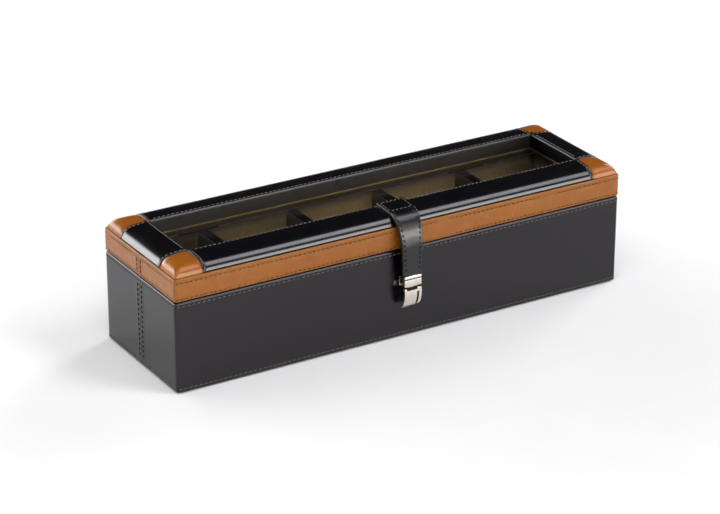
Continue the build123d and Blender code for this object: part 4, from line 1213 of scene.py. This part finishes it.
# ------------------------------------------------------------------ cushions
def cushion_form(sx, sy, sz):
    """Closed pillow: a rolled section that draws in towards its two sewn ends."""
    nu, nv = 30, 44
    rings = []
    for i in range(nu):
        u = -1 + 2 * i / (nu - 1)
        x = sx * (math.sin(u * math.pi / 2) * 0.35 + u * 0.65)
        k = 1 - 0.10 * abs(u) ** 3
        end = max(0.0, (abs(u) - 0.86) / 0.14)
        k *= math.sqrt(max(0.0, 1 - 0.30 * end ** 2))
        ring = []
        for j in range(nv):
            a = 2 * math.pi * j / nv
            c, s = math.cos(a), math.sin(a)
            p = 3.4
            m = (abs(c) ** p + abs(s) ** p) ** (-1 / p)
            z = s * m * sz * k
            if s < 0:
                z = max(z, -sz * 0.985)
            ring.append((x, c * m * sy * k, z))
        rings.append(ring)
    P = np.array(rings)
    verts = [tuple(v) for v in P.reshape(-1, 3)]
    faces = []
    for i in range(nu - 1):
        for j in range(nv):
            a, b = i * nv + j, i * nv + (j + 1) % nv
            faces.append([a, b, b + nv, a + nv])
    for i, flip in ((0, True), (nu - 1, False)):
        bulge = 1.6
        c = len(verts)
        ring_ids = [i * nv + j for j in range(nv)]
        last = ring_ids
        for f, e in ((0.72, 0.55), (0.4, 0.88)):
            new = []
            for q in ring_ids:
                v = verts[q]
                verts.append((v[0] + (bulge * e if i else -bulge * e), v[1] * f, v[2] * f))
                new.append(len(verts) - 1)
            for j in range(nv):
                quad = [last[j], last[(j + 1) % nv], new[(j + 1) % nv], new[j]]
                faces.append(quad[::-1] if not flip else quad)
            last = new
        verts.append((verts[ring_ids[0]][0] + (bulge if i else -bulge), 0, 0))
        tip = len(verts) - 1
        for j in range(nv):
            tri = [last[j], last[(j + 1) % nv], tip]
            faces.append(tri[::-1] if not flip else tri)
    return verts, faces


def make_cushion():
    """The pillow, blown up by a short cloth simulation and held to its compartment."""
    verts, faces = cushion_form(25.4, 33.6, 19.4)
    ob = finish_mesh("cushion_work", verts, faces, None, [SUEDE_C])
    bpy.context.view_layer.objects.active = ob
    for o in bpy.context.selected_objects:
        o.select_set(False)
    ob.select_set(True)
    ob.data.remesh_voxel_size = 0.0042
    ob.data.remesh_voxel_adaptivity = 0.0
    bpy.ops.object.voxel_remesh()
    rest = np.array([v.co for v in ob.data.vertices], float)
    mod = ob.modifiers.new("cloth", "CLOTH")
    s = mod.settings
    s.quality = 5
    s.mass = 0.25
    s.use_pressure = True
    s.uniform_pressure_force = 4.0
    s.tension_stiffness = 30
    s.compression_stiffness = 30
    s.shear_stiffness = 12
    s.bending_stiffness = 1.2
    s.effector_weights.gravity = 0.0
    mod.collision_settings.use_collision = False
    for f in range(1, 15):
        scene.frame_set(f)
    dg = bpy.context.evaluated_depsgraph_get()
    ev = ob.evaluated_get(dg).to_mesh()
    now = np.array([v.co for v in ev.vertices], float)
    ob.evaluated_get(dg).to_mesh_clear()
    scene.frame_set(1)
    ob.modifiers.remove(mod)
    move = now - rest
    size = np.linalg.norm(move, axis=1)
    cap = 0.003
    move *= np.minimum(1.0, cap / np.maximum(size, 1e-9))[:, None]
    co = rest + move
    # the filling settles: ends draw in, the bottom is flat, a watch's worth of give on top
    lim = np.array([27.7, 34.9, 20.45]) * MM
    for k in range(3):
        a = np.abs(co[:, k]) / lim[k]
        soft = np.where(a > 0.9, 0.9 + 0.1 * np.tanh((a - 0.9) / 0.1), a)
        co[:, k] = np.sign(co[:, k]) * soft * lim[k]
    ob.data.vertices.foreach_set("co", co.astype(np.float32).ravel())
    ob.data.update()
    sub = ob.modifiers.new("sub", "SUBSURF")
    sub.levels = sub.render_levels = 1
    dg = bpy.context.evaluated_depsgraph_get()
    me = bpy.data.meshes.new_from_object(ob.evaluated_get(dg))
    ob.modifiers.clear()
    old = ob.data
    ob.data = me
    bpy.data.meshes.remove(old)
    co = np.array([v.co for v in me.vertices], float) / MM
    # channel at each sewn end seam, and soft gathers running from it
    ang = np.arctan2(co[:, 2], co[:, 1])
    for sx in (-1, 1):
        d = np.abs(co[:, 0] - sx * 23.6)
        pull = 0.75 * np.exp(-(d / 1.7) ** 2)
        g = np.exp(-((np.abs(co[:, 0]) - 20.5) / 3.2) ** 2) * (co[:, 0] * sx > 0)
        gather = 0.22 * np.sin(ang * 23 + sx) * g + 0.14 * np.sin(ang * 41 + 2 * sx) * g
        radial = co[:, 1:] / np.maximum(np.linalg.norm(co[:, 1:], axis=1), 1e-6)[:, None]
        co[:, 1:] -= radial * (pull - gather)[:, None]
    wob = np.array([noise.noise(Vector((p[0] / 16.0, p[1] / 16.0, p[2] / 16.0))) for p in co]) * 0.35
    nrm = np.array([v.normal for v in me.vertices], float)
    co = co + nrm * wob[:, None]
    co[:, 2] = np.maximum(co[:, 2], -20.4)
    me.vertices.foreach_set("co", (co * MM).astype(np.float32).ravel())
    me.update()
    me.polygons.foreach_set("use_smooth", np.ones(len(me.polygons), bool))
    me.materials.clear()
    me.materials.append(SUEDE_C)
    return ob


def seam_round(me, sx, x_at, lift):
    """Points and normals round the pillow at x_at, found on its surface."""
    bm = bmesh.new()
    bm.from_mesh(me)
    tree = BVHTree.FromBMesh(bm)
    pts, nrm = [], []
    for k in range(120):
        a = 2 * math.pi * k / 120
        d = Vector((0, math.cos(a), math.sin(a)))
        hit, n, _, _ = tree.ray_cast(Vector((sx * x_at * MM, 0, 0)) + d * 0.08, -d)
        p = np.array(hit) / MM
        pts.append(p + np.array(n) * lift)
        nrm.append(np.array(n))
    bm.free()
    pts, nrm = np.array(pts), np.array(nrm)
    for _ in range(2):
        pts = (np.roll(pts, 1, 0) + 2 * pts + np.roll(pts, -1, 0)) / 4
        nrm = (np.roll(nrm, 1, 0) + 2 * nrm + np.roll(nrm, -1, 0)) / 4
    return pts, nrm


def cord_round(name, pts, nrm, r, mat):
    """Piping: a closed tube along a loop of points."""
    n = len(pts)
    T = np.roll(pts, -1, 0) - np.roll(pts, 1, 0)
    T /= np.linalg.norm(T, axis=1)[:, None]
    B = np.cross(nrm, T)
    B /= np.linalg.norm(B, axis=1)[:, None]
    N = np.cross(T, B)
    ang = np.arange(8) / 8 * 2 * math.pi
    ring = pts[:, None, :] + r * (B[:, None, :] * np.cos(ang)[None, :, None] + N[:, None, :] * np.sin(ang)[None, :, None])
    faces = []
    for i in range(n):
        for j in range(8):
            a, b = i * 8 + j, i * 8 + (j + 1) % 8
            c, d = ((i + 1) % n) * 8 + (j + 1) % 8, ((i + 1) % n) * 8 + j
            faces.append([a, b, c, d])
    return finish_mesh(name, ring.reshape(-1, 3), faces, None, [mat], None, 60.0)


pillow = make_cushion()
loops = [(sx, seam_round(pillow.data, sx, 23.6, 0.35)) for sx in (-1, 1)]
stitch_loops = [(sx, seam_round(pillow.data, sx, 21.9, -0.05)) for sx in (-1, 1)]
z_mid = 6.8 + 20.5
centres = [-134.64, -67.32, 0.0, 67.32, 134.64]
for i, xc in enumerate(centres):
    turn = -1.0 if i % 2 else 1.0
    me = pillow.data.copy()
    co = np.array([v.co for v in me.vertices], float)
    co[:, 0] *= turn
    co[:, 1] *= turn
    co[:, 0] += xc * MM
    co[:, 2] += z_mid * MM
    me.vertices.foreach_set("co", co.astype(np.float32).ravel())
    me.update()
    ob = bpy.data.objects.new(f"cushion_pillow_{i + 1}", me)
    scene.collection.objects.link(ob)
    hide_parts(f"cushion_{i + 1}")
    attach(ob, f"cushion_{i + 1}")
    shift = np.array([xc, 0, z_mid])
    flip = np.array([turn, turn, 1.0])
    for sx, (pts, nrm) in loops:
        side = "a" if sx < 0 else "b"
        pipe = cord_round(f"cushion_piping_{i + 1}{side}", pts * flip + shift, nrm * flip, 0.75, PIPING)
        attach(pipe, f"cushion_{i + 1}")
    lines = [(np.concatenate([p, p[:1]]) * flip + shift, np.concatenate([n, n[:1]]) * flip) for _, (p, n) in stitch_loops]
    sw = stitch_mesh(f"stitch_cushion_{i + 1}", lines, THREAD_BAR, pitch=3.6, length=2.4, radius=0.2, rise=0.1, slant=0.0)
    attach(sw, f"cushion_{i + 1}")
bpy.data.objects.remove(pillow)


# ------------------------------------------------------------------ finishes on the CAD nodes
def paint(node, mat, bevel=0.0, segs=2, smooth=30.0):
    o = NODES[node]
    o.data.materials.clear()
    o.data.materials.append(mat)
    if smooth:
        o.data.polygons.foreach_set("use_smooth", np.ones(len(o.data.polygons), bool))
        o.data.set_sharp_from_angle(angle=math.radians(smooth))
    if bevel:
        weld = o.modifiers.new("weld", "WELD")
        weld.merge_threshold = 1e-6
        m = o.modifiers.new("edge", "BEVEL")
        m.width = bevel * MM
        m.segments = segs
        m.limit_method = "ANGLE"
        m.angle_limit = math.radians(40)
        m.harden_normals = False
    return o


for n in ("base_board_front", "base_board_back", "base_board_left", "base_board_right", "base_board_floor",
          "lid_rail_front", "lid_rail_back", "lid_rail_left", "lid_rail_right"):
    paint(n, WOOD)
paint("base_underside", FELT)
paint("lining_floor", SUEDE)
paint("lining_walls", SUEDE)
paint("lid_lining", SUEDE_LID_PAINTED_SHADE)
for i in range(1, 5):
    paint(f"divider_{i}", SUEDE_DIVIDER_PAINTED_SHADE)
    paint(f"divider_cap_{i}", BLACK)
paint("glass_pane", GLASS)
for n in ("catch_stud", "clasp_spring", "clasp_pin"):
    paint(n, NICKEL)
for n in ("catch_plate", "catch_pins"):
    paint(n, NICKEL_DULL_PAINTED_SHADE)
paint("clasp_sleeve", NICKEL_SLEEVE, 0.12)
paint("clasp_lever", NICKEL_LEVER, 0.12)
for n in ("hinge_base_left", "hinge_base_right", "hinge_lid_left", "hinge_lid_right", "hinge_pin_left", "hinge_pin_right",
          "hinge_screws_base", "hinge_screws_lid"):
    paint(n, STEEL)

# ------------------------------------------------------------------ stage, light, camera
floor_me = bpy.data.meshes.new("floor")
floor_me.from_pydata([(-30, -30, -0.0003), (30, -30, -0.0003), (30, 30, -0.0003), (-30, 30, -0.0003)], [], [(0, 1, 2, 3)])
floor = bpy.data.objects.new("floor", floor_me)
scene.collection.objects.link(floor)
fm = bpy.data.materials.new("floor_paper")
ft = Tree(fm)
fn = ft.noise(18.0, 2.0, 0.5, ft.coords())
fp = ft.node("BsdfPrincipled", {"Base Color": ft.mix(ft.ranged(fn, 0.3, 0.7), rgb(0.92, 0.92, 0.92), rgb(0.935, 0.935, 0.935)),
                                "Roughness": 0.7, "Specular IOR Level": 0.2})
ft.link(fp.outputs[0], ft.out.inputs["Surface"])
floor_me.materials.append(fm)

world = bpy.data.worlds.new("studio")
scene.world = world
wt = Tree.__new__(Tree)
world.use_nodes = True
wt.nt = world.node_tree
wt.nt.nodes.clear()
wt.out = wt.nt.nodes.new("ShaderNodeOutputWorld")
wc = wt.node("TexCoord").outputs["Generated"]
wd = wt.node("VectorMath", {0: wc}, operation="NORMALIZE").outputs["Vector"]


def panel(direction, inner_deg, outer_deg, level, tint=(1.0, 1.0, 1.0)):
    """A soft round light at infinity."""
    v = Vector(direction).normalized()
    dot = wt.node("VectorMath", {0: wd, 1: tuple(v)}, operation="DOT_PRODUCT").outputs["Value"]
    shape = wt.ranged(dot, math.cos(math.radians(outer_deg)), math.cos(math.radians(inner_deg)), 0.0, 1.0, True)
    return wt.node("VectorMath", {0: tuple(level * c for c in tint), "Scale": shape}, operation="SCALE").outputs["Vector"]


def strip(azimuth, inner_deg, outer_deg, z_in, z_out, level, tint=(1.0, 1.0, 1.0)):
    """A soft wide light that stands on the horizon."""
    flat = wt.node("VectorMath", {0: wd}, operation="MULTIPLY")
    flat.inputs[1].default_value = (1.0, 1.0, 0.0)
    unit = wt.node("VectorMath", {0: flat.outputs[0]}, operation="NORMALIZE").outputs["Vector"]
    dot = wt.node("VectorMath", {0: unit, 1: (azimuth[0], azimuth[1], 0.0)}, operation="DOT_PRODUCT").outputs["Value"]
    side = wt.ranged(dot, math.cos(math.radians(outer_deg)), math.cos(math.radians(inner_deg)), 0.0, 1.0, True)
    z = wt.node("SeparateXYZ", {0: wd}).outputs["Z"]
    up = wt.ranged(z, math.sin(math.radians(z_out)), math.sin(math.radians(z_in)), 0.0, 1.0, True)
    return wt.node("VectorMath", {0: tuple(level * c for c in tint), "Scale": wt.math("MULTIPLY", side, up)}, operation="SCALE").outputs["Vector"]


lights = [
    panel((0.00, 0.00, 1.00), 9, 20, 1.05),                                  # overhead
    panel((0.473, -0.33, 0.816), 5, 12, 5.1, (0.97, 0.985, 1.06)),           # front right, high: upper end
    panel((0.473, -0.55, 0.688), 6, 14, 5.5, (0.97, 0.985, 1.06)),          # front right, high: lower end
    panel((0.840, 0.340, 0.430), 6, 17, 7.6),                               # right, a little behind
    panel((-0.586, -0.527, 0.616), 14, 44, 1.22),                           # fill from beside the camera
    panel((-0.224, -0.480, 0.848), 8, 24, 2.1),                             # fill from above the camera
    strip((0.52, -0.854), 16, 40, 11, 18, 9.0, (1.03, 1.0, 0.97)),          # front right, on the horizon
    strip((-0.58, 0.815), 32, 52, 16, 24, 8.2),                             # back left, on the horizon
]
total = (0.012, 0.012, 0.013)
for l in lights:
    total = wt.node("VectorMath", {0: l, 1: total}, operation="ADD").outputs["Vector"]
lp = wt.node("LightPath")
bg_light = wt.node("Background", {"Strength": 1.0, "Color": total})
bg_cam = wt.node("Background", {"Strength": 1.0, "Color": rgb(0.95, 0.95, 0.95)})
wm = wt.node("MixShader", {0: lp.outputs["Is Camera Ray"]})
wt.link(bg_light.outputs[0], wm.inputs[1])
wt.link(bg_cam.outputs[0], wm.inputs[2])
wt.link(wm.outputs[0], wt.out.inputs["Surface"])

scene.view_settings.view_transform = "Standard"
scene.view_settings.look = "None"
scene.view_settings.exposure = 0.0
scene.view_settings.gamma = 1.0

cam_data = bpy.data.cameras.new("camera")
cam = bpy.data.objects.new("camera", cam_data)
scene.collection.objects.link(cam)
cam_data.sensor_width = 36.0
cam_data.lens = 140.70
cam_data.clip_start, cam_data.clip_end = 0.05, 100.0
az, el, dist, tilt = math.radians(-31.211), math.radians(24.036), 1.877794, math.radians(0.148)
target = Vector((-0.005782, 0.0, 0.039181))
back = Vector((math.sin(az) * math.cos(el), -math.cos(az) * math.cos(el), math.sin(el)))
xc = Vector((0, 0, 1)).cross(back).normalized()
yc = back.cross(xc)
x2 = math.cos(tilt) * xc + math.sin(tilt) * yc
y2 = -math.sin(tilt) * xc + math.cos(tilt) * yc
m = Matrix((x2, y2, back)).transposed().to_4x4()
m.translation = target + back * dist
cam.matrix_world = m
scene.camera = cam
